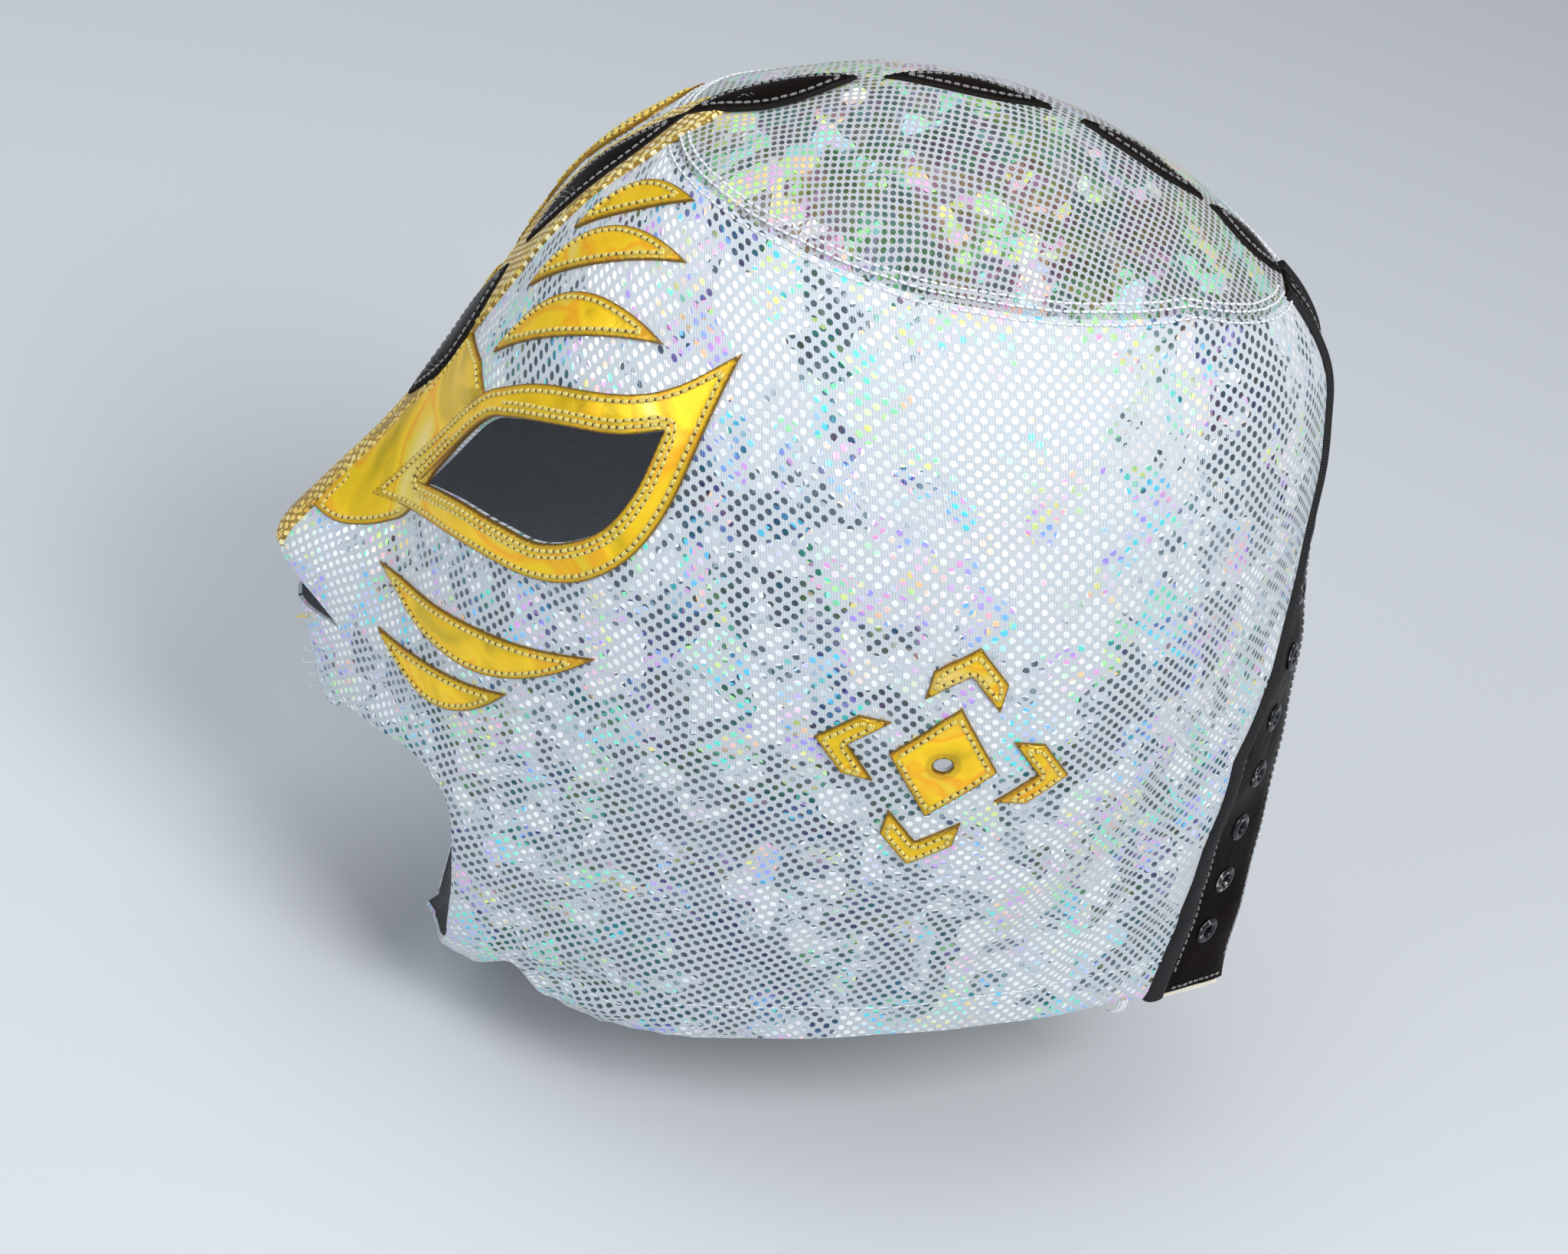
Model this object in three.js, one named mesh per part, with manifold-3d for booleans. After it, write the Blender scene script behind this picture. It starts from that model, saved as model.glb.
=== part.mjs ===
// Full-head wrestling mask of foil-dotted knit with gold vinyl trim, open down the back.
// Millimetres, +Z up. The face looks towards -Y and the wearer's left is +X.
// The origin is the top of the crown inside, where the mask sits on a head.
import * as THREE from "three";
import Module from "manifold-3d";

const wasm = await Module();
wasm.setup();

// Driving sizes.
const HOOD_HEIGHT = 240; // crown to the under-chin strap
const FACE_REACH = 104; // crown axis forward to the cheeks
const NAPE_REACH = 116; // crown axis back to the lowest nape edge
const HALF_WIDTH = 78; // middle plane to the ear
const NOSE_REACH = 24; // nose tip ahead of the face
const WALL = 1.4; // knit thickness
const TRIM = 1.1; // vinyl thickness
const GAP = 0.3; // clearance between neighbouring pieces
const EYELET_COUNT = 8; // a side
const EYELET_PITCH = 13.4;
const EYELET_SHARE = 0.38; // of the placket's width, from the free back edge to the first eyelet
const EYELET_DRIFT = 0.16; // how much more it is at the last one
const EYELET_FIRST = 76.5; // first eyelet below the crown
const EYELET_BORE = 1.4; // radius
const EYELET_BARREL = 2.2; // radius
const EYELET_FLANGE = 3.2; // radius
const EAR_HOLE = 1.8; // radius
const BINDING_WIDTH = 3;
const BINDING_HEIGHT = 1.6;

// The flat patterns below are drawn for these sizes, with the crown at this level, and stretched to the
// driving sizes.
const PATTERN = { height: 240, face: 104, nape: 116, half: 78, crown: 7 };

// Horizontal sections of the hood, crown to strap. z is a share of HOOD_HEIGHT, front of FACE_REACH,
// back and wide (where it is widest) of NAPE_REACH, half, edge (free back edge) and ridge (width of the
// nose bump) of HALF_WIDTH, nose of NOSE_REACH. wrap: degrees of back quarter; power: front squareness.
const SECTION_COLUMNS = ["z", "front", "back", "half", "wide", "edge", "wrap", "power", "nose", "ridge"];
const SECTIONS = [
  [0.000, 0.029, -0.026, 0.000, -0.026, 0.000, 90, 2.00, 0.000, 0.192],
  [0.006, 0.154, 0.121, 0.109, -0.026, 0.005, 90, 2.00, 0.000, 0.192],
  [0.021, 0.269, 0.250, 0.237, -0.026, 0.005, 90, 2.00, 0.000, 0.192],
  [0.042, 0.394, 0.358, 0.378, -0.017, 0.005, 90, 2.02, 0.000, 0.192],
  [0.071, 0.519, 0.483, 0.532, -0.004, 0.005, 90, 2.05, -0.029, 0.192],
  [0.113, 0.625, 0.616, 0.679, 0.017, 0.005, 90, 2.10, -0.058, 0.192],
  [0.158, 0.716, 0.711, 0.801, 0.043, 0.019, 86, 2.18, -0.067, 0.192],
  [0.217, 0.788, 0.763, 0.897, 0.069, 0.032, 82, 2.26, -0.046, 0.192],
  [0.287, 0.846, 0.793, 0.962, 0.095, 0.051, 77, 2.34, 0.017, 0.192],
  [0.362, 0.889, 0.823, 0.994, 0.121, 0.090, 70, 2.36, 0.142, 0.192],
  [0.438, 0.918, 0.858, 1.000, 0.138, 0.154, 62, 2.34, 0.392, 0.205],
  [0.512, 0.947, 0.879, 0.987, 0.147, 0.199, 55, 2.28, 0.729, 0.218],
  [0.575, 0.971, 0.892, 0.962, 0.147, 0.237, 48, 2.20, 0.950, 0.218],
  [0.625, 0.986, 0.901, 0.936, 0.138, 0.276, 43, 2.14, 0.662, 0.231],
  [0.696, 1.000, 0.909, 0.904, 0.121, 0.327, 37, 2.08, 0.333, 0.244],
  [0.779, 0.990, 0.922, 0.865, 0.103, 0.372, 32, 2.02, 0.125, 0.244],
  [0.854, 0.933, 0.957, 0.827, 0.086, 0.410, 30, 2.00, 0.000, 0.244],
  [0.896, 0.894, 0.974, 0.718, 0.034, 0.423, 28, 2.00, 0.000, 0.244],
  [0.929, 0.846, 0.983, 0.551, 0.000, 0.385, 27, 2.00, 0.000, 0.244],
  [0.958, 0.798, 0.991, 0.372, 0.000, 0.282, 27, 2.00, 0.000, 0.244],
  [0.983, 0.740, 0.991, 0.205, 0.000, 0.167, 27, 2.00, 0.000, 0.244],
  [1.000, 0.596, 1.000, 0.077, 0.000, 0.064, 27, 2.00, 0.000, 0.244],
];

// Soft folds of the worn cloth, in side view: from, to, depth, half width.
const FOLD_COLUMNS = ["y0", "z0", "y1", "z1", "depth", "width"];
const FOLDS = [
  [-58, -203, -30, -190, 2.2, 6.0],
  [-66, -200, -46, -168, 1.6, 6.5],
  [80, -90, 66, -152, 2.4, 8.0],
  [66, -104, 44, -166, 1.4, 8.0],
  [-52, -6, -30, -2, 1.2, 8.0],
];

// Side-view patterns, [y, z], the same on both sides.
const CROWN_SEAM = [[-140, -16], [-50, -15.1], [-8, -16.1], [30, -15], [45, -14.6], [71, -19.5], [80, -22], [140, -34]];
const HEM = [
  [-40, -272], [-54, -238], [-60, -220], [-62, -209.5], [-55.5, -199.3], [-48.5, -206], [-35, -206],
  [-22, -202], [2, -192],
  [23, -185.3], [42, -181], [59, -178.1], [77, -177.1], [88, -178.6], [106, -180.5], [160, -186],
];
const MOUTH = [
  [-150, -166.5], [-110, -166.3], [-103.5, -159.8], [-96.3, -156.4], [-88, -153.4], [-81.4, -154.5],
  [-76.4, -159.5], [-73.7, -169.4], [-72.1, -181], [-71, -196], [-70.5, -203], [-72, -216], [-75, -245],
  [-150, -245],
];
const NOSTRIL = [
  [-150, -133.8], [-121.5, -134.4], [-114.2, -137.3], [-106.9, -141.4], [-114, -143.2], [-120, -144.6], [-150, -145.2],
];

// Where the knit meets the placket, [z, x].
const PLACKET_SEAM = [
  [-10, 5], [-31, 8.5], [-45, 11], [-62, 15], [-75, 19.5], [-87, 25.5], [-99, 32.5],
  [-113, 38], [-136, 40], [-157, 41], [-180, 43.5], [-240, 48],
];

// Views that patterns are drawn in: degrees round from the face, degrees up.
const VIEWS = { face: [0, 0], side: [90, 0], back: [180, 0], top: [0, 90], eye: [52, 5], brow: [30, 30], ear: [92, 0] };

// Closed curves in the eye view, [across, up, corner].
const EYE_OPENING = [
  [-61.7, -103.2, 1], [-47, -79.7, 0], [-38, -72.7, 0], [-24.8, -66.7, 0], [-12, -61.8, 0], [-3.3, -56.5, 1],
  [-3.7, -69.8, 0], [-8.3, -81.2, 0], [-19, -89.8, 0], [-31.2, -93, 0], [-46, -96.6, 0],
];
const EYE_SURROUND = [
  [-75.3, -114.4, 1], [-62, -92.5, 0], [-50.4, -75.9, 0], [-42.3, -68.5, 0], [-32, -62, 0], [-14, -54.5, 0],
  [-5, -48.3, 0], [2.6, -38.5, 1], [3.8, -57, 0], [3.2, -71, 0], [-0.6, -83, 0], [-8.5, -92.5, 0],
  [-19, -98, 0], [-33.4, -101.3, 0], [-50, -105.8, 0],
];
const NOSE_GUARD = [
  [-70, -72.5, 1], [-56, -71.5, 1], [-46, -76, 1], [-58, -98, 1], [-62.3, -110.6, 0], [-67.7, -116.4, 0],
  [-75, -121.6, 0], [-82, -124.6, 0], [-91, -125.4, 1], [-88, -109, 0], [-80, -92, 0],
];

// Half width of the gold strip along the middle of the face, [z, half width].
const RIDGE_STRIP = [[-9, 5.5], [-20, 8.5], [-34, 9.5], [-50, 9], [-70, 7.2], [-88, 5.4], [-110, 4.4], [-131.5, 4.2]];
const RIDGE_STRIP_BACK = -47; // y of its end on the crown

// Crescents: view, ends, greatest width, sideways bend.
const CRESCENTS = [
  ["brow_crescent_1", "brow", -22, -96, 16, -68, 9, 5.5],
  ["brow_crescent_2", "brow", -24, -81, 7, -54, 8.5, 5],
  ["brow_crescent_3", "brow", -23, -66, -3, -45, 7.5, 4],
  ["cheek_crescent_1", "eye", -66, -125, -2, -108, 10, -7],
  ["cheek_crescent_2", "eye", -61, -138.5, -20, -128, 8.5, -5.5],
];

// Ear patch: a lozenge and four chevrons round the ear hole.
const EAR_CENTRE = [14.3, -100.3];
const EAR_LOZENGE = [11, 14];
const CHEVRON = [[0, 6], [7.5, -1], [7.5, -7.5], [0, -0.5], [-7.5, -7.5], [-7.5, -1]];
const CHEVRONS = [["up", 0, 22], ["back", -90, 20], ["down", 180, 22], ["front", 90, 20]];

// Black leaves along the middle: view, ends, width, whether it lies over the gold strip.
const CREST = [
  ["crest_leaf_1", "face", -90, -54, 15, true],
  ["crest_leaf_2", "face", -48.5, -12.5, 12, true],
  ["crest_leaf_3", "top", -57, -26, 12, true],
  ["crest_leaf_4", "top", -21, 13, 8, false],
  ["crest_leaf_5", "top", 19, 48, 8, false],
  ["crest_leaf_6", "top", 50, 69, 10, false],
];

const rad = THREE.MathUtils.degToRad;

// Catmull-Rom value between table rows at a fractional row number.
function sectionAt(t) {
  const last = SECTIONS.length - 1;
  const at = Math.min(Math.max(t, 0), last);
  const i = Math.min(Math.floor(at), last - 1);
  const f = at - i;
  const out = {};
  SECTION_COLUMNS.forEach((name, c) => {
    const p1 = SECTIONS[i][c];
    const p2 = SECTIONS[i + 1][c];
    const p0 = i > 0 ? SECTIONS[i - 1][c] : 2 * p1 - p2;
    const p3 = i < last - 1 ? SECTIONS[i + 2][c] : 2 * p2 - p1;
    out[name] =
      0.5 * (2 * p1 + (p2 - p0) * f + (2 * p0 - 5 * p1 + 4 * p2 - p3) * f * f + (3 * p1 - p0 - 3 * p2 + p3) * f ** 3);
  });
  return out;
}

// Point of the smooth left half: u is 0 at the middle of the face, 0.5 at the side, 1 at the free back edge.
function halfPoint(u, t) {
  const s = sectionAt(t);
  const front = -s.front * FACE_REACH;
  const back = s.back * NAPE_REACH;
  const half = s.half * HALF_WIDTH;
  const wide = s.wide * NAPE_REACH;
  const edge = s.edge * HALF_WIDTH;
  const ridge = s.ridge * HALF_WIDTH;
  let x;
  let y;
  if (u < 0.5) {
    const a = Math.max(u, 0) * Math.PI;
    x = half * Math.sin(a) ** (2 / s.power);
    y = wide + (front - wide) * Math.max(Math.cos(a), 0) ** (2 / s.power);
    y -= s.nose * NOSE_REACH * Math.exp(-((x / ridge) ** 2));
  } else {
    const end = rad(s.wrap);
    const b = (u * 2 - 1) * end;
    x = edge + ((half - edge) * (Math.cos(b) - Math.cos(end))) / (1 - Math.cos(end));
    y = wide + ((back - wide) * Math.sin(b)) / Math.sin(end);
  }
  return new THREE.Vector3(x, y, WALL - s.z * HOOD_HEIGHT);
}

// Stretches a point of pattern space to the driving sizes.
function fit(p) {
  const depth = p.y < 0 ? FACE_REACH / PATTERN.face : NAPE_REACH / PATTERN.nape;
  const z = WALL + ((p.z - PATTERN.crown) * HOOD_HEIGHT) / PATTERN.height;
  return new THREE.Vector3((p.x * HALF_WIDTH) / PATTERN.half, p.y * depth, z);
}

// How far the folds draw the cloth in at a point.
function foldDepth(p) {
  let sum = 0;
  for (const row of FOLDS) {
    const fold = Object.fromEntries(FOLD_COLUMNS.map((name, c) => [name, row[c]]));
    const a = fit(new THREE.Vector3(0, fold.y0, fold.z0));
    const b = fit(new THREE.Vector3(0, fold.y1, fold.z1));
    const along = b.clone().sub(a);
    const k = THREE.MathUtils.clamp(new THREE.Vector3(0, p.y, p.z).sub(a).dot(along) / along.lengthSq(), 0, 1);
    const off = Math.hypot(p.y - a.y - along.y * k, p.z - a.z - along.z * k);
    sum += fold.depth * Math.exp(-((off / fold.width) ** 2)) * Math.sin(Math.PI * (0.15 + 0.7 * k));
  }
  return sum;
}

function halfNormal(u, t) {
  if (t < 0.01) return new THREE.Vector3(0, 0, 1);
  const d = 0.004;
  const across = halfPoint(Math.min(u + d, 1), t).sub(halfPoint(Math.max(u - d, 0), t));
  const down = halfPoint(u, Math.min(t + d, SECTIONS.length - 1)).sub(halfPoint(u, Math.max(t - d, 0.002)));
  const n = down.cross(across).normalize();
  if (u < 1e-6) n.setX(0).normalize();
  return n;
}

// Point at a height above the cloth's outer face.
function clothPoint(u, t, lift) {
  const p = halfPoint(u, t);
  return p.addScaledVector(halfNormal(u, t), lift - foldDepth(p));
}

// Row number at a depth below the crown.
function rowAtDepth(depth) {
  let low = 0;
  let high = SECTIONS.length - 1;
  for (let k = 0; k < 40; k++) {
    const mid = (low + high) / 2;
    if (sectionAt(mid).z * HOOD_HEIGHT < depth) low = mid;
    else high = mid;
  }
  return low;
}

function toManifold(positions, triangles) {
  const mesh = new wasm.Mesh({
    numProp: 3,
    vertProperties: new Float32Array(positions.flatMap((p) => [p.x, p.y, p.z])),
    triVerts: new Uint32Array(triangles.flat()),
  });
  return new wasm.Manifold(mesh);
}

const interpolate = (rows, key) => {
  const rising = rows[1][0] > rows[0][0];
  const i = rows.findIndex(([k], n) => n > 0 && (rising ? k >= key : k <= key));
  const [k0, v0] = rows[i - 1];
  const [k1, v1] = rows[i];
  return v0 + ((v1 - v0) * (key - k0)) / (k1 - k0);
};

// Position round the back quarter where the surface is x from the middle plane.
function aroundAt(x, t) {
  let low = 0.5;
  let high = 1;
  for (let k = 0; k < 40; k++) {
    const mid = (low + high) / 2;
    if (halfPoint(mid, t).x > x) low = mid;
    else high = mid;
  }
  return low;
}

// Row number of the crown seam at a position round the hood, moved down by a distance.
function seamRow(u, drop) {
  let t = 4.5;
  for (let k = 0; k < 4; k++) {
    const y = halfPoint(u, t).y * (PATTERN.nape / NAPE_REACH);
    const depth = PATTERN.crown - interpolate(CROWN_SEAM, y);
    t = rowAtDepth((depth * HOOD_HEIGHT) / PATTERN.height + drop);
  }
  return t;
}

// Where the knit meets the placket at a row, moved towards the face by a distance.
function placketEdge(t, distance) {
  const z = PATTERN.crown - sectionAt(t).z * PATTERN.height;
  const x = (interpolate(PLACKET_SEAM, z) * HALF_WIDTH) / PATTERN.half;
  return Math.min(aroundAt(x + distance, t), 1);
}

const FRONT_STEPS = 8;
const BACK_STEPS = 6;
const AROUND = [];
for (let i = 0; i <= FRONT_STEPS; i++) AROUND.push(0.5 * (i / FRONT_STEPS) ** 1.7);
for (let i = 1; i <= BACK_STEPS; i++) AROUND.push(0.5 + (0.5 * i) / BACK_STEPS);
const CROWN_LEVELS = [1, 2, 3, 3.8];
const FIRST_SIDE_LEVEL = 6;
const SIDE_LEVELS = [];
for (let t = FIRST_SIDE_LEVEL; t < SECTIONS.length; t++) SIDE_LEVELS.push(t);

// Columns of the side panel below the seam end at the placket.
const sideColumn = (u, t, distance) => (u <= 0.5 ? u : 0.5 + (u - 0.5) * 2 * (placketEdge(t, distance) - 0.5));

// Rows of [u, t] places, one list a level, over the crown. Its columns meet those of the side panel.
function crownPlaces(drop) {
  const columns = [...AROUND.map((u) => sideColumn(u, seamRow(u, 0), 0)), 1];
  return [...CROWN_LEVELS.map((t) => columns.map((u) => [u, t])), columns.map((u) => [u, seamRow(u, drop)])];
}

// The same for the side panel, from the seam down.
function sidePlaces(drop, distance) {
  const top = AROUND.map((u) => {
    const t = seamRow(sideColumn(u, seamRow(u, 0), 0), drop);
    return [sideColumn(u, t, distance), t];
  });
  const second = top.map(([, t], i) => {
    const down = (t + FIRST_SIDE_LEVEL) / 2;
    return [sideColumn(AROUND[i], down, distance), down];
  });
  return [top, second, ...SIDE_LEVELS.map((t) => AROUND.map((u) => [sideColumn(u, t, distance), t]))];
}

// Closed layer over the whole hood between two heights above the cloth's outer face.
function hoodLayer(low, high, places) {
  const positions = [];
  const triangles = [];
  const loop = places[0].length * 2 - 1;
  for (const lift of [high, low]) {
    positions.push(clothPoint(0, 0, lift));
    for (const level of places) {
      const half = level.map(([u, t]) => clothPoint(u, t, lift));
      positions.push(...half, ...half.slice(1).reverse().map((p) => new THREE.Vector3(-p.x, p.y, p.z)));
    }
  }
  const size = 1 + places.length * loop;
  const at = (layer, level, i) => layer * size + 1 + level * loop + (i % loop);
  const add = (layer, a, b, c) => triangles.push(layer === 0 ? [a, b, c] : [a, c, b]);
  const last = places.length - 1;
  for (let i = 0; i < loop; i++) {
    for (const layer of [0, 1]) {
      add(layer, layer * size, at(layer, 0, i), at(layer, 0, i + 1));
      for (let k = 0; k < last; k++) {
        add(layer, at(layer, k, i), at(layer, k + 1, i), at(layer, k + 1, i + 1));
        add(layer, at(layer, k, i), at(layer, k + 1, i + 1), at(layer, k, i + 1));
      }
    }
    triangles.push([at(0, last, i), at(1, last, i), at(1, last, i + 1)]);
    triangles.push([at(0, last, i), at(1, last, i + 1), at(0, last, i + 1)]);
  }
  return toManifold(positions, triangles);
}

// Closed panel on the left half between two heights, from rows of [u, t] places.
function panel(low, high, places) {
  const wide = places[0].length;
  const size = wide * places.length;
  const positions = [high, low].flatMap((lift) => places.flat().map(([u, t]) => clothPoint(u, t, lift)));
  const triangles = [];
  const quad = (a, b, c, d) => triangles.push([a, b, c], [a, c, d]);
  for (let k = 0; k + 1 < places.length; k++) {
    for (let i = 0; i + 1 < wide; i++) {
      const a = k * wide + i;
      quad(a, a + wide, a + wide + 1, a + 1);
      quad(size + a, size + a + 1, size + a + wide + 1, size + a + wide);
    }
    const first = k * wide;
    const end = first + wide - 1;
    quad(first, size + first, size + first + wide, first + wide);
    quad(end + wide, size + end + wide, size + end, end);
  }
  for (let i = 0; i + 1 < wide; i++) {
    const foot = size - wide + i;
    quad(i + 1, size + i + 1, size + i, i);
    quad(foot, size + foot, size + foot + 1, foot + 1);
  }
  return toManifold(positions, triangles);
}

// Straight cutter: a pattern drawn in a view, from near to far along the line of sight.
function prism(outline, view, near = 12, far = 190) {
  const [turn, lift] = VIEWS[view].map(rad);
  const axis = new THREE.Vector3(Math.sin(turn) * Math.cos(lift), -Math.cos(turn) * Math.cos(lift), Math.sin(lift));
  const across = new THREE.Vector3(Math.cos(turn), Math.sin(turn), 0);
  const up = axis.clone().cross(across);
  const flat = outline.map(([h, v]) => new THREE.Vector2(h, v));
  if (THREE.ShapeUtils.isClockWise(flat)) flat.reverse();
  const count = flat.length;
  const positions = [];
  for (const distance of [near, far]) {
    for (const p of flat) {
      const q = across.clone().multiplyScalar(p.x).addScaledVector(up, p.y).addScaledVector(axis, distance);
      positions.push(fit(q));
    }
  }
  const triangles = [];
  for (const [a, b, c] of THREE.ShapeUtils.triangulateShape(flat, [])) {
    triangles.push([a, c, b], [a + count, b + count, c + count]);
  }
  for (let i = 0; i < count; i++) {
    const j = (i + 1) % count;
    triangles.push([i, j, j + count], [i, j + count, i + count]);
  }
  return toManifold(positions, triangles);
}

// Closed curve through control rows, with sharp corners where the third value is 1.
function curve(rows, steps = 2) {
  const count = rows.length;
  const row = (i) => rows[(i + count) % count];
  const out = [];
  for (let i = 0; i < count; i++) {
    const p1 = row(i);
    const p2 = row(i + 1);
    const p0 = p1[2] ? p1 : row(i - 1);
    const p3 = p2[2] ? p2 : row(i + 2);
    for (let k = 0; k < steps; k++) {
      const f = k / steps;
      out.push(
        [0, 1].map(
          (c) =>
            0.5 *
            (2 * p1[c] + (p2[c] - p0[c]) * f + (2 * p0[c] - 5 * p1[c] + 4 * p2[c] - p3[c]) * f * f +
              (3 * p1[c] - p0[c] - 3 * p2[c] + p3[c]) * f ** 3),
        ),
      );
    }
  }
  return out;
}

// Moves a closed outline outwards.
function grow(outline, distance) {
  const flat = outline.map(([h, v]) => new THREE.Vector2(h, v));
  if (THREE.ShapeUtils.isClockWise(flat)) flat.reverse();
  return flat.map((p, i) => {
    const before = flat[(i + flat.length - 1) % flat.length];
    const after = flat[(i + 1) % flat.length];
    const a = p.clone().sub(before).normalize();
    const b = after.clone().sub(p).normalize();
    const out = new THREE.Vector2(a.y + b.y, -a.x - b.x).normalize();
    const stretch = 1 / Math.max(0.5, new THREE.Vector2(a.y, -a.x).dot(out));
    return [p.x + out.x * distance * stretch, p.y + out.y * distance * stretch];
  });
}

// Leaf with pointed ends, bent to one side.
function leaf(h0, v0, h1, v1, width, bend, steps = 5) {
  const along = new THREE.Vector2(h1 - h0, v1 - v0);
  const side = new THREE.Vector2(-along.y, along.x).normalize();
  const point = (s, sign) => {
    const off = bend * 4 * s * (1 - s) + (sign * width * Math.sin(Math.PI * s) ** 0.9) / 2;
    return [h0 + along.x * s + side.x * off, v0 + along.y * s + side.y * off];
  };
  const out = [];
  for (let i = 0; i < steps; i++) out.push(point(i / steps, -1));
  for (let i = steps; i > 0; i--) out.push(point(i / steps, 1));
  return out;
}

const wholeHood = [
  ...crownPlaces(0),
  ...sidePlaces(0, 0)
    .slice(1)
    .map((row) => [...row, [1, row[0][1]]]),
];
const trim = hoodLayer(GAP, GAP + TRIM, wholeHood);
const crest = hoodLayer(2 * GAP + TRIM, 2 * GAP + 2 * TRIM, wholeHood);

const both = (outline) => prism(outline, "side", -150, 150);
const lowered = (rows, dz) => rows.map(([y, z]) => [y, z - dz]);
const hemWaste = (drop) => both([...lowered(HEM, drop), [160, -272 - drop]]);
const leftHalf = prism([[-200, -300], [200, -300], [200, 40], [-200, 40]], "side", GAP / 2, 150);

function eyeletPlace(index) {
  const t = rowAtDepth(((EYELET_FIRST + index * EYELET_PITCH) * HOOD_HEIGHT) / PATTERN.height);
  const share = EYELET_SHARE + (EYELET_DRIFT * index) / (EYELET_COUNT - 1);
  const u = 1 - share * (1 - placketEdge(t, 0));
  return { p: clothPoint(u, t, 0), n: halfNormal(u, t) };
}

// Body of revolution about a point's normal, from a closed profile of [radius, height].
function turned(place, profile, segments) {
  const side = new THREE.Vector3(0, 0, 1).cross(place.n).normalize();
  const up = place.n.clone().cross(side);
  const positions = [];
  const triangles = [];
  for (let i = 0; i < segments; i++) {
    const a = (2 * Math.PI * i) / segments;
    for (const [r, h] of profile) {
      const q = place.p.clone().addScaledVector(side, r * Math.cos(a)).addScaledVector(up, r * Math.sin(a));
      positions.push(q.addScaledVector(place.n, h));
    }
  }
  const count = profile.length;
  for (let i = 0; i < segments; i++) {
    const j = (i + 1) % segments;
    for (let k = 0; k < count; k++) {
      const l = (k + 1) % count;
      const [a, b, c, d] = [i * count + k, j * count + k, j * count + l, i * count + l];
      triangles.push([a, b, c], [a, c, d]);
    }
  }
  return toManifold(positions, triangles);
}

// Solid round cutter along a point's normal.
function plug(place, radius, low, high, segments = 6) {
  const side = new THREE.Vector3(0, 0, 1).cross(place.n).normalize();
  const up = place.n.clone().cross(side);
  const positions = [];
  const triangles = [];
  for (const h of [low, high]) {
    for (let i = 0; i < segments; i++) {
      const a = (2 * Math.PI * i) / segments;
      const q = place.p.clone().addScaledVector(side, radius * Math.cos(a)).addScaledVector(up, radius * Math.sin(a));
      positions.push(q.addScaledVector(place.n, h));
    }
  }
  for (let i = 0; i < segments; i++) {
    const j = (i + 1) % segments;
    triangles.push([i, j, j + segments], [i, j + segments, i + segments]);
    if (i > 1) triangles.push([0, i, i - 1], [segments, segments + i - 1, segments + i]);
  }
  return toManifold(positions, triangles);
}

const group = new THREE.Group();
group.name = "wrestling_mask";

function addPiece(name, solid, color, metalness = 0, roughness = 0.6) {
  const mesh = solid.getMesh();
  const geometry = new THREE.BufferGeometry();
  const positions = new Float32Array(mesh.numVert * 3);
  for (let i = 0; i < mesh.numVert; i++) {
    for (let c = 0; c < 3; c++) positions[i * 3 + c] = mesh.vertProperties[i * mesh.numProp + c];
  }
  geometry.setAttribute("position", new THREE.BufferAttribute(positions, 3));
  geometry.setIndex(new THREE.BufferAttribute(new Uint32Array(mesh.triVerts), 1));
  geometry.computeVertexNormals();
  const piece = new THREE.Mesh(geometry, new THREE.MeshStandardMaterial({ color, metalness, roughness }));
  piece.name = name;
  group.add(piece);
  return geometry;
}

// Adds a left piece and its mirror image.
function addPair(name, solid, color, metalness = 0, roughness = 0.6) {
  const left = addPiece(name + "_left", solid, color, metalness, roughness);
  const right = left.clone();
  const position = right.getAttribute("position");
  for (let i = 0; i < position.count; i++) position.setX(i, -position.getX(i));
  const index = right.index;
  for (let i = 0; i < index.count; i += 3) {
    const b = index.getX(i + 1);
    index.setX(i + 1, index.getX(i + 2));
    index.setX(i + 2, b);
  }
  right.computeVertexNormals();
  const piece = new THREE.Mesh(right, new THREE.MeshStandardMaterial({ color, metalness, roughness }));
  piece.name = name + "_right";
  group.add(piece);
}

const KNIT = 0xd5d8dc;
const GOLD = 0xd99f22;
const FOIL = 0xc9a13f;
const BLACK = 0x15161a;
const CREAM = 0xe8e0cd;
const STEEL = 0x3a3d42;

// Knit panels.
const eyeHole = prism(curve(EYE_OPENING), "eye");
const earHole = plug(
  { p: fit(new THREE.Vector3(0, EAR_CENTRE[0] + 2.7, EAR_CENTRE[1])), n: new THREE.Vector3(1, 0, 0) },
  EAR_HOLE,
  30,
  120,
  10,
);
const sidePanel = panel(-WALL, 0, sidePlaces(GAP / 2, GAP / 2))
  .intersect(leftHalf)
  .subtract(both(MOUTH))
  .subtract(both(NOSTRIL))
  .subtract(hemWaste(0))
  .subtract(eyeHole)
  .subtract(earHole);
addPair("side_panel", sidePanel, KNIT, 0.2, 0.5);
addPiece("crown_panel", hoodLayer(-WALL, 0, crownPlaces(-GAP / 2)), KNIT, 0.2, 0.5);

// Gold strip from the nose tip over the forehead.
const stripOutline = (extra) => [
  ...RIDGE_STRIP.map(([z, w]) => [w + extra, z]),
  ...RIDGE_STRIP.map(([z, w]) => [-w - extra, z]).reverse(),
];
const stripTop = [[5.5, -90], [5.5, RIDGE_STRIP_BACK - 8], [0, RIDGE_STRIP_BACK], [-5.5, RIDGE_STRIP_BACK - 8], [-5.5, -90]];
const faceStrip = trim.intersect(prism(stripOutline(0), "face", 30, 190));
const crownStrip = trim.intersect(prism(stripTop, "top", -9, 40));
addPiece("ridge_strip", faceStrip.add(crownStrip), FOIL, 0.5, 0.4);

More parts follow.
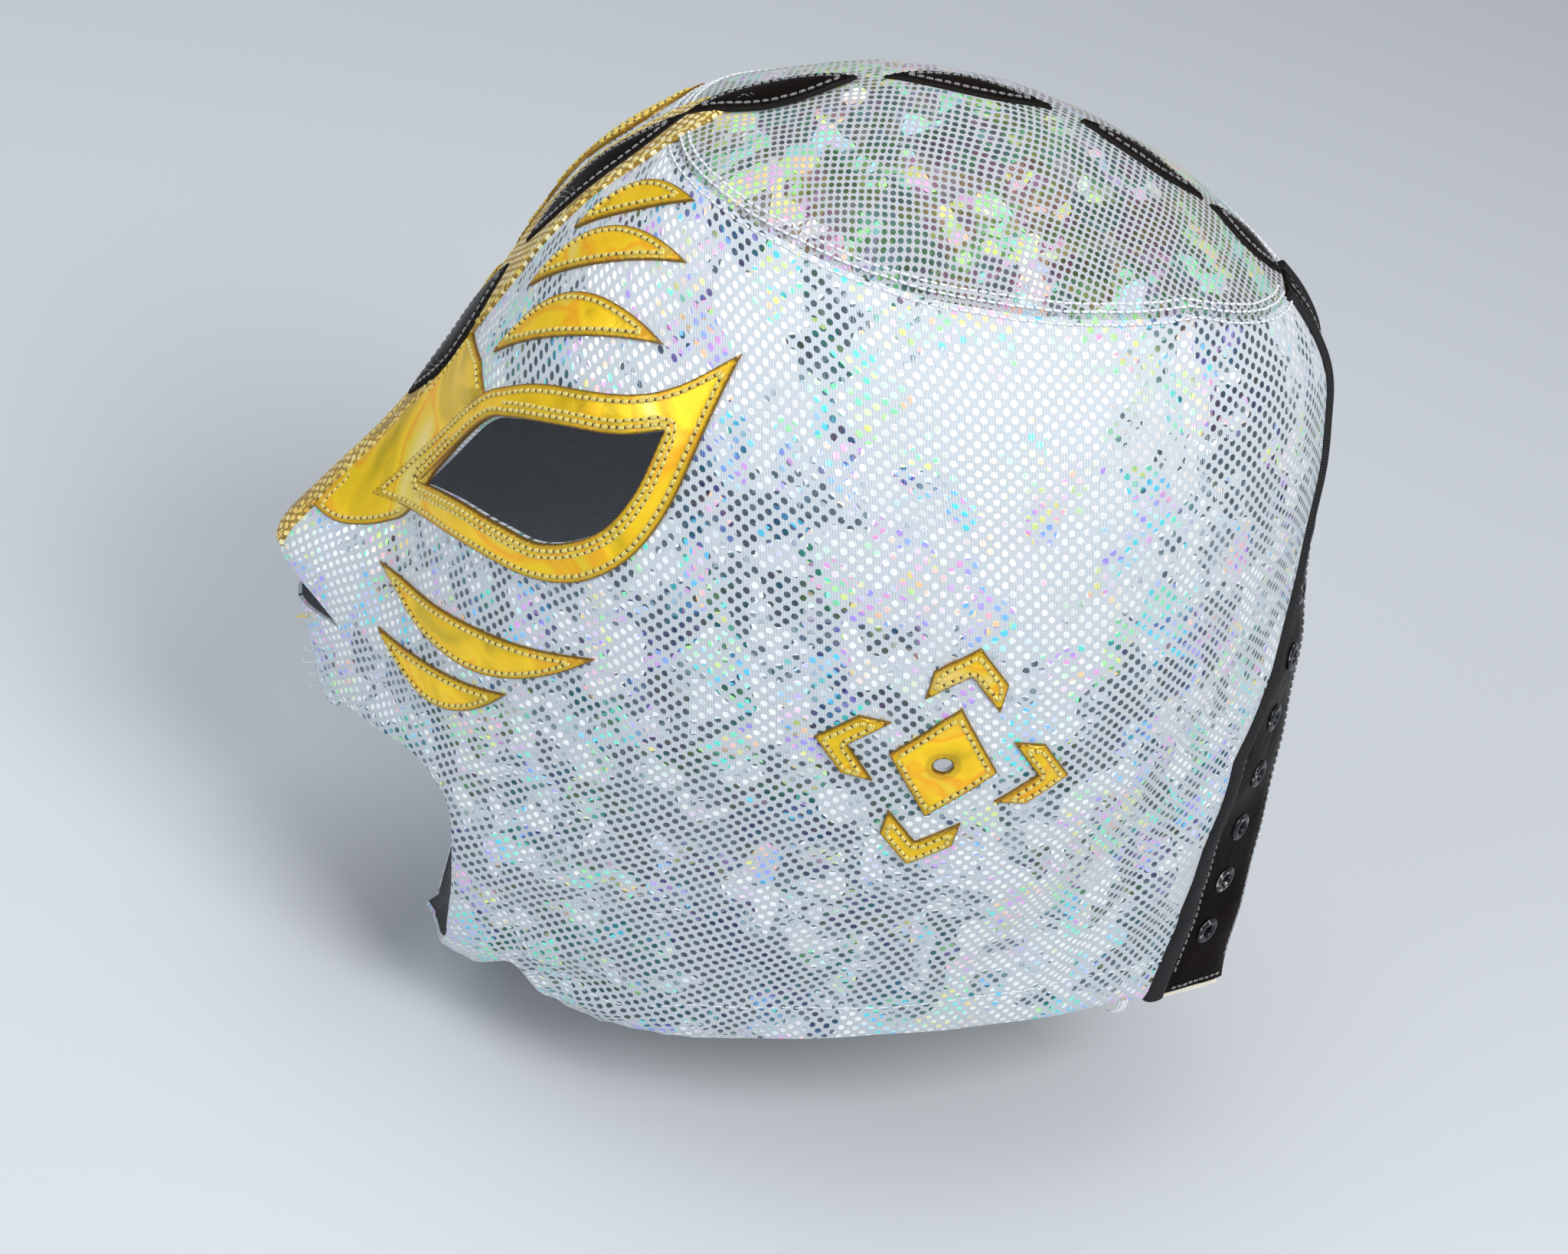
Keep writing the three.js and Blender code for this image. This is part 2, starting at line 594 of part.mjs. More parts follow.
// Gold trim round the eyes and nose.
const surroundOutline = curve(EYE_SURROUND);
addPair("eye_surround", trim.intersect(prism(surroundOutline, "eye")).subtract(eyeHole), GOLD, 0.4, 0.35);
const guard = trim
  .intersect(prism(curve(NOSE_GUARD), "eye"))
  .subtract(prism(grow(surroundOutline, GAP + 0.1), "eye"))
  .subtract(prism(stripOutline(GAP), "face", 30, 190))
  .intersect(leftHalf);
addPair("nose_guard", guard, GOLD, 0.4, 0.35);
for (const [name, view, h0, v0, h1, v1, width, bend] of CRESCENTS) {
  addPair(name, trim.intersect(prism(leaf(h0, v0, h1, v1, width, bend), view)), GOLD, 0.4, 0.35);
}

// Gold ear patch.
const [earH, earV] = EAR_CENTRE;
const [lozengeH, lozengeV] = EAR_LOZENGE;
const lozenge = [[earH + lozengeH, earV], [earH, earV + lozengeV], [earH - lozengeH, earV], [earH, earV - lozengeV]];
addPair("ear_lozenge", trim.intersect(prism(lozenge, "ear")).subtract(earHole), GOLD, 0.4, 0.35);
for (const [name, turn, distance] of CHEVRONS) {
  const c = Math.cos(rad(turn));
  const s = Math.sin(rad(turn));
  const outline = CHEVRON.map(([p, q]) => [
    earH + p * c - (q + distance) * s,
    earV + p * s + (q + distance) * c,
  ]);
  addPair("ear_chevron_" + name, trim.intersect(prism(outline, "ear")), GOLD, 0.4, 0.35);
}

// Black leaves along the middle line.
for (const [name, view, from, to, width, over] of CREST) {
  const cut = prism(leaf(0, from, 0, to, width, 0), view, view === "top" ? -30 : 30, 190);
  addPiece(name, (over ? crest : trim).intersect(cut), BLACK, 0.1, 0.25);
}

// Plackets with binding, backing and eyelets.
const places = [];
for (let i = 0; i < EYELET_COUNT; i++) places.push(eyeletPlace(i));
const bandTop = seamRow(1, GAP / 2);
const BAND_LEVELS = [bandTop, (bandTop + FIRST_SIDE_LEVEL) / 2, ...SIDE_LEVELS];
const band = (from, to, steps, levels = BAND_LEVELS) =>
  levels.map((t) => {
    const a = from(t);
    const b = to(t);
    return Array.from({ length: steps + 1 }, (_, i) => [a + ((b - a) * i) / steps, t]);
  });
const placketBand = band((t) => placketEdge(t, -GAP / 2), () => 1, 3);
let placket = panel(-WALL, 0, placketBand).intersect(leftHalf).subtract(hemWaste(0));
for (const place of places) placket = placket.subtract(plug(place, (EYELET_BARREL + GAP) * 1.15, -4, 3));
const backingBand = band((t) => placketEdge(t, -1.2), () => 1, 3);
const backing = panel(-WALL - GAP - TRIM, -WALL - GAP, backingBand).intersect(leftHalf).subtract(hemWaste(2.5));
const bindingBand = band((t) => placketEdge(t, BINDING_WIDTH / 2), (t) => placketEdge(t, -BINDING_WIDTH / 2), 1);
const binding = panel(GAP, GAP + BINDING_HEIGHT, bindingBand).subtract(hemWaste(0));
addPair("placket", placket, BLACK, 0.1, 0.25);
addPair("placket_backing", backing, CREAM);
addPair("placket_binding", binding, BLACK, 0.1, 0.4);
const eyeletProfile = [
  [EYELET_BORE, -WALL],
  [EYELET_BARREL, -WALL],
  [EYELET_BARREL, GAP],
  [EYELET_FLANGE, GAP],
  [EYELET_BORE + 0.3, GAP + 0.9],
];
places.forEach((place, i) => {
  addPair("eyelet_" + (i + 1), turned(place, eyeletProfile, 6), STEEL, 0.8, 0.3);
});

export default group;
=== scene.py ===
"""Looks of the wrestling mask: knit, vinyl trim, plackets, eyelets and stitching laid on one smooth hood surface.

The surface and the patterns repeat the solids' tables, in millimetres; meshes are written in metres.
"""

import math

import bpy
import numpy as np
from mathutils import Matrix, Vector
from mathutils.bvhtree import BVHTree
from mathutils.geometry import delaunay_2d_cdt


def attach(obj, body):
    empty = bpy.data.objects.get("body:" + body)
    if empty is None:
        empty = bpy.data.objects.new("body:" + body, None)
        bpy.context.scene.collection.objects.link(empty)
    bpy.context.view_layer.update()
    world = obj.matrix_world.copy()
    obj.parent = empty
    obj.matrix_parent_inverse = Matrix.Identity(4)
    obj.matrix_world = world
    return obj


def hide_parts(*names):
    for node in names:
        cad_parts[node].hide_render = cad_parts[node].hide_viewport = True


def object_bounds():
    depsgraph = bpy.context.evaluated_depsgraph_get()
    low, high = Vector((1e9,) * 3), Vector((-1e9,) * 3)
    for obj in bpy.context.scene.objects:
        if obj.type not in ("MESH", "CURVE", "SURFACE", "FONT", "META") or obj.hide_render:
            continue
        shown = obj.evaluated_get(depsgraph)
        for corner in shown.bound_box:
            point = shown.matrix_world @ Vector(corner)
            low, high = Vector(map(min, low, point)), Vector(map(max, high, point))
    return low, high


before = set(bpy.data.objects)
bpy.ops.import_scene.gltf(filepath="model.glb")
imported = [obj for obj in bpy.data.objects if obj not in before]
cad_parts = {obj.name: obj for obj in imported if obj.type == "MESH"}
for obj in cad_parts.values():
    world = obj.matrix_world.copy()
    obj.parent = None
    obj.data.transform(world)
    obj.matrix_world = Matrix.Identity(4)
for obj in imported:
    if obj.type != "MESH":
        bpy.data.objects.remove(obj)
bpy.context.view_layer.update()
rng = np.random.default_rng(7)

# Shape
HEIGHT, FACE, NAPE, HALF, NOSE = 240.0, 104.0, 116.0, 78.0, 24.0
WALL, CROWN = 1.4, 7.0
# z, front, back, half, wide, edge, wrap, power, nose, ridge
SECTIONS = np.array([
    (0.000, 0.029, -0.026, 0.000, -0.026, 0.000, 90, 2.00, 0.000, 0.192),
    (0.006, 0.154, 0.121, 0.109, -0.026, 0.005, 90, 2.00, 0.000, 0.192),
    (0.021, 0.269, 0.250, 0.237, -0.026, 0.005, 90, 2.00, 0.000, 0.192),
    (0.042, 0.394, 0.358, 0.378, -0.017, 0.005, 90, 2.02, 0.000, 0.192),
    (0.071, 0.519, 0.483, 0.532, -0.004, 0.005, 90, 2.05, -0.029, 0.192),
    (0.113, 0.625, 0.616, 0.679, 0.017, 0.005, 90, 2.10, -0.058, 0.192),
    (0.158, 0.716, 0.711, 0.801, 0.043, 0.019, 86, 2.18, -0.067, 0.192),
    (0.217, 0.788, 0.763, 0.897, 0.069, 0.032, 82, 2.26, -0.046, 0.192),
    (0.287, 0.846, 0.793, 0.962, 0.095, 0.051, 77, 2.34, 0.017, 0.192),
    (0.362, 0.889, 0.823, 0.994, 0.121, 0.090, 70, 2.36, 0.142, 0.192),
    (0.438, 0.918, 0.858, 1.000, 0.138, 0.154, 62, 2.34, 0.392, 0.205),
    (0.512, 0.947, 0.879, 0.987, 0.147, 0.199, 55, 2.28, 0.729, 0.218),
    (0.575, 0.971, 0.892, 0.962, 0.147, 0.237, 48, 2.20, 0.950, 0.218),
    (0.625, 0.986, 0.901, 0.936, 0.138, 0.276, 43, 2.14, 0.662, 0.231),
    (0.696, 1.000, 0.909, 0.904, 0.121, 0.327, 37, 2.08, 0.333, 0.244),
    (0.779, 0.990, 0.922, 0.865, 0.103, 0.372, 32, 2.02, 0.125, 0.244),
    (0.854, 0.933, 0.957, 0.827, 0.086, 0.410, 30, 2.00, 0.000, 0.244),
    (0.896, 0.894, 0.974, 0.718, 0.034, 0.423, 28, 2.00, 0.000, 0.244),
    (0.929, 0.846, 0.983, 0.551, 0.000, 0.385, 27, 2.00, 0.000, 0.244),
    (0.958, 0.798, 0.991, 0.372, 0.000, 0.282, 27, 2.00, 0.000, 0.244),
    (0.983, 0.740, 0.991, 0.205, 0.000, 0.167, 27, 2.00, 0.000, 0.244),
    (1.000, 0.596, 1.000, 0.077, 0.000, 0.064, 27, 2.00, 0.000, 0.244),
])
# from y, z to y, z, depth, half width, in pattern heights
FOLDS = [
    (-58, -203, -30, -190, 2.2, 6.0), (-66, -200, -46, -168, 1.6, 6.5), (80, -90, 66, -152, 2.4, 8.0),
    (66, -104, 44, -166, 1.4, 8.0), (-52, -6, -30, -2, 1.2, 8.0),
]
# finer creases that only the cloth shows
CREASES = [
    (-46, -198, -18, -193, 0.9, 2.4), (-44, -191, -10, -186, 0.7, 2.2), (-50, -184, -24, -176, 0.6, 2.6),
    (-58, -190, -40, -205, 0.8, 2.2), (84, -112, 62, -168, 1.2, 3.4), (74, -96, 58, -140, 1.0, 3.4),
    (90, -150, 60, -172, 1.0, 3.4), (-30, -20, -8, -6, 0.6, 4.0), (-64, -150, -52, -176, 0.5, 3.0),
    (30, -22, 60, -40, 0.5, 5.0), (10, -182, 60, -170, 0.45, 3.0), (-60, -36, -44, -20, 0.4, 4.0),
]
CROWN_SEAM = [(-140, -16), (-50, -15.1), (-8, -16.1), (30, -15), (45, -14.6), (71, -19.5), (80, -22), (140, -34)]
HEM = [
    (-40, -272), (-54, -238), (-60, -220), (-62, -209.5), (-55.5, -199.3), (-48.5, -206), (-35, -206),
    (-22, -202), (2, -192), (23, -185.3), (42, -181), (59, -178.1), (77, -177.1), (88, -178.6), (106, -180.5),
    (160, -186),
]
MOUTH = [
    (-150, -166.5), (-110, -166.3), (-103.5, -159.8), (-96.3, -156.4), (-88, -153.4), (-81.4, -154.5),
    (-76.4, -159.5), (-73.7, -169.4), (-72.1, -181), (-71, -196), (-70.5, -203), (-72, -216), (-75, -245),
]
NOSTRIL = [
    (-150, -133.8), (-121.5, -134.4), (-114.2, -137.3), (-106.9, -141.4), (-114, -143.2), (-120, -144.6),
    (-150, -145.2),
]
PLACKET_SEAM = [
    (-10, 5), (-31, 8.5), (-45, 11), (-62, 15), (-75, 19.5), (-87, 25.5), (-99, 32.5), (-113, 38), (-136, 40),
    (-157, 41), (-180, 43.5), (-240, 48),
]
VIEWS = {"face": (0, 0), "top": (0, 90), "eye": (52, 5), "brow": (30, 30), "ear": (92, 0)}
EYE_OPENING = [
    (-61.7, -103.2, 1), (-47, -79.7, 0), (-38, -72.7, 0), (-24.8, -66.7, 0), (-12, -61.8, 0), (-3.3, -56.5, 1),
    (-3.7, -69.8, 0), (-8.3, -81.2, 0), (-19, -89.8, 0), (-31.2, -93, 0), (-46, -96.6, 0),
]
EYE_SURROUND = [
    (-75.3, -114.4, 1), (-62, -92.5, 0), (-50.4, -75.9, 0), (-42.3, -68.5, 0), (-32, -62, 0), (-14, -54.5, 0),
    (-5, -48.3, 0), (2.6, -38.5, 1), (3.8, -57, 0), (3.2, -71, 0), (-0.6, -83, 0), (-8.5, -92.5, 0),
    (-19, -98, 0), (-33.4, -101.3, 0), (-50, -105.8, 0),
]
NOSE_GUARD = [
    (-70, -72.5, 1), (-56, -71.5, 1), (-46, -76, 1), (-58, -98, 1), (-62.3, -110.6, 0), (-67.7, -116.4, 0),
    (-75, -121.6, 0), (-82, -124.6, 0), (-91, -125.4, 1), (-88, -109, 0), (-80, -92, 0),
]
RIDGE_STRIP = [(-9, 5.5), (-20, 8.5), (-34, 9.5), (-50, 9), (-70, 7.2), (-88, 5.4), (-110, 4.4), (-131.5, 4.2)]
RIDGE_STRIP_BACK = -47
CRESCENTS = [
    ("brow_crescent_1", "brow", -22, -96, 16, -68, 9, 5.5), ("brow_crescent_2", "brow", -24, -81, 7, -54, 8.5, 5),
    ("brow_crescent_3", "brow", -23, -66, -3, -45, 7.5, 4),
    ("cheek_crescent_1", "eye", -66, -125, -2, -108, 10, -7),
    ("cheek_crescent_2", "eye", -61, -138.5, -20, -128, 8.5, -5.5),
]
EAR_CENTRE, EAR_LOZENGE = (14.3, -100.3), (11, 14)
CHEVRON = [(0, 6), (7.5, -1), (7.5, -7.5), (0, -0.5), (-7.5, -7.5), (-7.5, -1)]
CHEVRONS = [("up", 0, 22), ("back", -90, 20), ("down", 180, 22), ("front", 90, 20)]
CREST = [
    ("crest_leaf_1", "face", -90, -54, 15, True), ("crest_leaf_2", "face", -48.5, -12.5, 12, True),
    ("crest_leaf_3", "top", -57, -26, 12, True), ("crest_leaf_4", "top", -21, 13, 8, False),
    ("crest_leaf_5", "top", 19, 48, 8, False), ("crest_leaf_6", "top", 50, 69, 10, False),
]
EYELETS, EYELET_PITCH, EYELET_SHARE, EYELET_DRIFT, EYELET_FIRST = 8, 13.4, 0.38, 0.16, 76.5
LAST = len(SECTIONS) - 1


def spline(p0, p1, p2, p3, f):
    """Smooth curve from p1 to p2, led by the points before and after."""
    square = (2 * p0 - 5 * p1 + 4 * p2 - p3) * f**2
    cube = (3 * p1 - p0 - 3 * p2 + p3) * f**3
    return 0.5 * (2 * p1 + (p2 - p0) * f + square + cube)


def unit(v):
    return v / (np.linalg.norm(v, axis=-1, keepdims=True) + 1e-12)


def section(t):
    """The columns of SECTIONS at rows t, smoothed between rows."""
    t = np.clip(np.asarray(t, float), 0, LAST)
    i = np.minimum(t.astype(int), LAST - 1)
    p1, p2 = SECTIONS[i], SECTIONS[i + 1]
    p0 = np.where((i > 0)[..., None], SECTIONS[np.maximum(i - 1, 0)], 2 * p1 - p2)
    p3 = np.where((i < LAST - 1)[..., None], SECTIONS[np.minimum(i + 2, LAST)], 2 * p2 - p1)
    return np.moveaxis(spline(p0, p1, p2, p3, (t - i)[..., None]), -1, 0)


def half_point(u, t):
    """Smooth left half of the hood, without folds."""
    u, t = np.broadcast_arrays(np.asarray(u, float), np.asarray(t, float))
    z, front, back, half, wide, edge, wrap, power, nose, ridge = section(t)
    front, back, wide = -front * FACE, back * NAPE, wide * NAPE
    half, edge, ridge = half * HALF, edge * HALF, ridge * HALF
    a = np.clip(u, 0, 0.5) * math.pi
    xf = half * np.sin(a) ** (2 / power)
    yf = wide + (front - wide) * np.maximum(np.cos(a), 0) ** (2 / power)
    yf = yf - nose * NOSE * np.exp(-((xf / ridge) ** 2))
    end = np.radians(wrap)
    b = np.clip(u * 2 - 1, 0, 1) * end
    xb = edge + (half - edge) * (np.cos(b) - np.cos(end)) / (1 - np.cos(end))
    yb = wide + (back - wide) * np.sin(b) / np.sin(end)
    k = u < 0.5
    return np.stack([np.where(k, xf, xb), np.where(k, yf, yb), WALL - z * HEIGHT], -1)


def half_normal(u, t):
    d = 0.004
    across = half_point(np.minimum(u + d, 1), t) - half_point(np.maximum(u - d, 0), t)
    down = half_point(u, np.minimum(t + d, LAST)) - half_point(u, np.maximum(t - d, 0.002))
    n = unit(np.cross(down, across))
    n[..., 0] = np.where(np.asarray(u) < 1e-6, 0, n[..., 0])
    return np.where((np.asarray(t) < 0.01)[..., None], np.array([0, 0, 1.0]), unit(n))


def dents(p, rows):
    """Depth of the folds in rows at points p."""
    total = np.zeros(p.shape[:-1])
    for y0, z0, y1, z1, depth, width in rows:
        a = np.array([y0, z0 + WALL - CROWN])
        along = np.array([y1, z1 + WALL - CROWN]) - a
        rel = p[..., 1:3] - a
        k = np.clip(rel @ along / (along @ along), 0, 1)
        off = np.linalg.norm(rel - k[..., None] * along, axis=-1)
        total += depth * np.exp(-((off / width) ** 2)) * np.sin(math.pi * (0.15 + 0.7 * k))
    return total


def ripple(p):
    """Slow, shallow unevenness of worn cloth."""
    x, y, z = p[..., 0], p[..., 1], p[..., 2]
    slow = np.sin(y * 0.11 + z * 0.07 + 1.3) * np.sin(z * 0.13 - y * 0.05)
    return 0.22 * slow + 0.12 * np.sin(y * 0.31 - z * 0.23 + x * 0.1)


def cloth(u, t, lift=0.0, side=1):
    """Place at a height above the cloth's outer face, and the outward direction there."""
    u, t = np.broadcast_arrays(np.asarray(u, float), np.asarray(t, float))
    p, n = half_point(u, t), half_normal(u, t)
    fade = np.clip(p[..., 0] / 12, 0, 1)
    depth = dents(p, FOLDS) + fade * (dents(p, CREASES) + ripple(p))
    p = p + n * (np.asarray(lift) - depth)[..., None]
    one = np.ones(u.shape)
    flip = np.stack([np.broadcast_to(np.asarray(side, float), u.shape), one, one], -1)
    return p * flip, n * flip


# Finding places
ROWS = np.linspace(0, LAST, 4000)
DEPTHS = section(ROWS)[0] * HEIGHT


def row_at_depth(depth):
    return np.interp(depth, DEPTHS, ROWS)


def table(rows, key):
    rows = sorted(rows)
    return np.interp(key, [r[0] for r in rows], [r[1] for r in rows])


def bisect(test, low, high):
    """The place between low and high where test turns false."""
    for _ in range(34):
        mid = (low + high) / 2
        k = test(mid)
        low, high = np.where(k, mid, low), np.where(k, high, mid)
    return (low + high) / 2


def side_place(y, z):
    """(u, t) of a side-view pattern point, and whether it lies on the hood."""
    y, z = np.asarray(y, float), np.asarray(z, float)
    t = row_at_depth(CROWN - z)
    u = bisect(lambda m: half_point(m, t)[..., 1] < y, np.zeros(y.shape), np.ones(y.shape))
    return u, t, np.abs(half_point(u, t)[..., 1] - y) < 0.05


def crossing(u, line, t, rounds, drop=0.0):
    """Row where a side-view line crosses each position round the hood, from a first guess."""
    t = np.full(np.shape(u), t)
    for _ in range(rounds):
        t = row_at_depth(CROWN - table(line, half_point(u, t)[..., 1]) + drop)
    return t


def seam_row(u, drop=0.0):
    return crossing(u, CROWN_SEAM, 4.5, 5, drop)


def placket_edge(t, distance=0.0):
    """u of the seam between knit and placket, or at a distance in front of it."""
    t = np.asarray(t, float)
    x = table(PLACKET_SEAM, CROWN - section(t)[0] * HEIGHT) + distance
    return bisect(lambda m: half_point(m, t)[..., 0] > x, np.full(t.shape, 0.5), np.ones(t.shape))


def width_place(x, t):
    """u on the front quarter at a distance x from the middle plane."""
    s = section(t)
    return np.arcsin(np.clip(x / np.maximum(s[3] * HALF, 1e-6), 0, 1) ** (s[7] / 2)) / math.pi


def pace(u, t, du=0.0, dt=0.0):
    """Millimetres on the hood for each unit of u or t."""
    return np.linalg.norm(half_point(u + du, t + dt) - half_point(u, t), axis=-1) / abs(du + dt)


def run_length(p):
    """Length along a line of points, from its start."""
    return np.concatenate([[0], np.cumsum(np.linalg.norm(np.diff(p, axis=0), axis=1))])


def grid_faces(rows, cols):
    """Two triangles for each cell of a grid."""
    a = (np.arange(rows - 1)[:, None] * cols + np.arange(cols - 1)).ravel()
    return np.stack([a, a + cols, a + cols + 1, a, a + cols + 1, a + 1], -1).reshape(-1, 3)


# the hood as a mesh, for lines of sight
GRID_U, GRID_T = np.meshgrid(np.linspace(0, 1, 181), np.linspace(0, LAST, LAST * 8 + 9))
HOOD = half_point(GRID_U, GRID_T).reshape(-1, 3)
HOOD_FACES = grid_faces(*GRID_U.shape)
HOOD_FACES = np.concatenate([HOOD_FACES, HOOD_FACES + len(HOOD)])
HOOD = np.concatenate([HOOD, HOOD * [-1, 1, 1]])
HOOD_PLACES = np.tile(np.stack([GRID_U.ravel(), GRID_T.ravel()], -1), (2, 1))
HOOD_TREE = BVHTree.FromPolygons([Vector(p) for p in HOOD], [tuple(map(int, f)) for f in HOOD_FACES])


def project(points, view):
    """Rows of u, t, side for points of a view's pattern, seen from outside."""
    turn, lift = map(math.radians, VIEWS[view])
    axis = np.array([math.sin(turn) * math.cos(lift), -math.cos(turn) * math.cos(lift), math.sin(lift)])
    across = np.array([math.cos(turn), math.sin(turn), 0])
    up = np.cross(axis, across)
    out = np.zeros((len(points), 3))
    for k, (h, v) in enumerate(points):
        base = across * h + up * v + np.array([0, 0, WALL - CROWN])
        hit, _, index, _ = HOOD_TREE.ray_cast(Vector(base + axis * 230), Vector(-axis), 400)
        if hit is None:
            # past the outline: the nearest place on the hood
            near = [HOOD_TREE.find_nearest(Vector(base + axis * s)) for s in np.linspace(-20, 150, 86)]
            hit, _, index, _ = min(near, key=lambda found: found[3])
        a, b, c = HOOD[HOOD_FACES[index]]
        v0, v1, v2 = b - a, c - a, np.array(hit) - a
        d00, d01, d11, d20, d21 = v0 @ v0, v0 @ v1, v1 @ v1, v2 @ v0, v2 @ v1
        den = d00 * d11 - d01 * d01 + 1e-12
        wb, wc = (d11 * d20 - d01 * d21) / den, (d00 * d21 - d01 * d20) / den
        place = HOOD_PLACES[HOOD_FACES[index]]
        out[k, :2] = place[0] * (1 - wb - wc) + place[1] * wb + place[2] * wc
        out[k, 2] = 1 if hit[0] >= 0 else -1
    return out


# Flat patterns
def smooth_loop(rows, steps=8):
    """Closed curve through rows of x, y and whether the row is a corner."""
    p, n = np.array([r[:2] for r in rows], float), len(rows)
    f = (np.arange(steps) / steps)[:, None]
    out = []
    for i, row in enumerate(rows):
        j = (i + 1) % n
        before = p[i] if row[2] else p[i - 1]
        after = p[j] if rows[j][2] else p[(i + 2) % n]
        out.append(spline(before, p[i], p[j], after, f))
    return np.concatenate(out)


def smooth_line(rows, step):
    """Open smooth curve through rows."""
    p = np.array([r[:2] for r in rows], float)
    q = np.concatenate([[2 * p[0] - p[1]], p, [2 * p[-1] - p[-2]]])
    out = []
    for i in range(1, len(q) - 2):
        n = max(2, int(np.linalg.norm(q[i + 1] - q[i]) / step))
        out.append(spline(q[i - 1], q[i], q[i + 1], q[i + 2], (np.arange(n) / n)[:, None]))
    return np.concatenate([*out, p[-1:]])


def straight_line(rows, step):
    rows = np.array([r[:2] for r in rows], float)
    out = [rows[:1]]
    for a, b in zip(rows, rows[1:]):
        n = max(1, int(np.linalg.norm(b - a) / step))
        out.append(a + (b - a) * (np.arange(1, n + 1) / n)[:, None])
    return np.concatenate(out)


def circle(centre, radius, count):
    a = np.linspace(0, 2 * math.pi, count, endpoint=False)
    return np.stack([centre[0] + radius * np.cos(a), centre[1] + radius * np.sin(a)], -1)


def leaf(h0, v0, h1, v1, width, bend, steps=24):
    """Pointed oval between two points, bowed to one side."""
    along = np.array([h1 - h0, v1 - v0], float)
    side = np.array([-along[1], along[0]]) / np.linalg.norm(along)
    s = np.linspace(0, 1, steps + 1)
    mid = np.array([h0, v0]) + s[:, None] * along + (bend * 4 * s * (1 - s))[:, None] * side
    off = (width * np.sin(math.pi * s) ** 0.9 / 2)[:, None] * side
    return np.concatenate([(mid - off)[:-1], (mid + off)[:0:-1]])


def resample(loop, step, closed=True):
    """Even steps along a line, with its corners kept."""
    p = np.concatenate([loop, loop[:1]]) if closed else np.asarray(loop, float)
    s = run_length(p)
    at = np.linspace(0, s[-1], max(3, int(round(s[-1] / step))) + 1)
    for i in range(1, len(p) - 1):
        a, b = p[i] - p[i - 1], p[i + 1] - p[i]
        size = np.linalg.norm(a) * np.linalg.norm(b)
        if size > 1e-9 and (a @ b) / size < 0.86:
            at[np.abs(at - s[i]).argmin()] = s[i]
    at = np.unique(at)
    if closed:
        at = at[:-1]
    return np.stack([np.interp(at, s, p[:, 0]), np.interp(at, s, p[:, 1])], -1)


def nearest(points, a, b):
    """Distance from each point to the nearest of the segments from a to b."""
    ab = b - a
    l2 = (ab**2).sum(1) + 1e-12
    out = np.empty(len(points))
    for s in range(0, len(points), 2000):
        q = points[s:s + 2000, None] - a[None]
        k = np.clip((q * ab[None]).sum(-1) / l2, 0, 1)
        out[s:s + 2000] = np.linalg.norm(q - k[..., None] * ab[None], axis=-1).min(1)
    return out


def loop_distance(points, loops):
    """Distance from points to the nearest of some closed loops."""
    best = np.full(len(points), 1e9)
    for loop in loops:
        best = np.minimum(best, nearest(points, loop, np.roll(loop, -1, axis=0)))
    return best


def line_distance(places, line):
    """Distance on the cloth from places to an open line of places."""
    q = half_point(line[:, 0], line[:, 1])
    return nearest(half_point(places[:, 0], places[:, 1]), q[:-1], q[1:])


def inside(points, loop):
    x, y = points[:, 0], points[:, 1]
    out = np.zeros(len(points), bool)
    for (x0, y0), (x1, y1) in zip(loop, np.roll(loop, -1, axis=0)):
        if y0 != y1:
            out ^= ((y0 > y) != (y1 > y)) & (x < (x1 - x0) * (y - y0) / (y1 - y0) + x0)
    return out


def within(points, loops):
    """Inside the first loop and outside the others."""
    out = inside(points, loops[0])
    for hole in loops[1:]:
        out &= ~inside(points, hole)
    return out


def stretches(points, keep):
    """The kept stretches of a line that are longer than four points."""
    parts = np.split(np.arange(len(keep)), np.flatnonzero(np.diff(keep)) + 1)
    return [points[i] for i in parts if keep[i[0]] and len(i) > 4]


def inset(loop, distance, step):
    """A loop moved inwards, as open lines without what a corner cuts off."""
    fine = resample(loop, min(step, 0.6))
    x, y = fine[:, 0], fine[:, 1]
    if np.sum(x * np.roll(y, -1) - np.roll(x, -1) * y) < 0:
        fine = fine[::-1]
    a, b = fine - np.roll(fine, 1, axis=0), np.roll(fine, -1, axis=0) - fine
    a /= np.linalg.norm(a, axis=1, keepdims=True) + 1e-9
    b /= np.linalg.norm(b, axis=1, keepdims=True) + 1e-9
    tangent = (a + b) / (np.linalg.norm(a + b, axis=1, keepdims=True) + 1e-9)
    moved = fine + np.stack([-tangent[:, 1], tangent[:, 0]], -1) * distance
    keep = (loop_distance(moved, [fine]) > abs(distance) - 0.04) & (inside(moved, fine) == (distance > 0))
    if keep.all():
        return [np.concatenate([moved, moved[:1]])]
    order = np.roll(np.arange(len(moved)), -int(np.argmax(~keep)))
    return stretches(moved[order], keep[order])


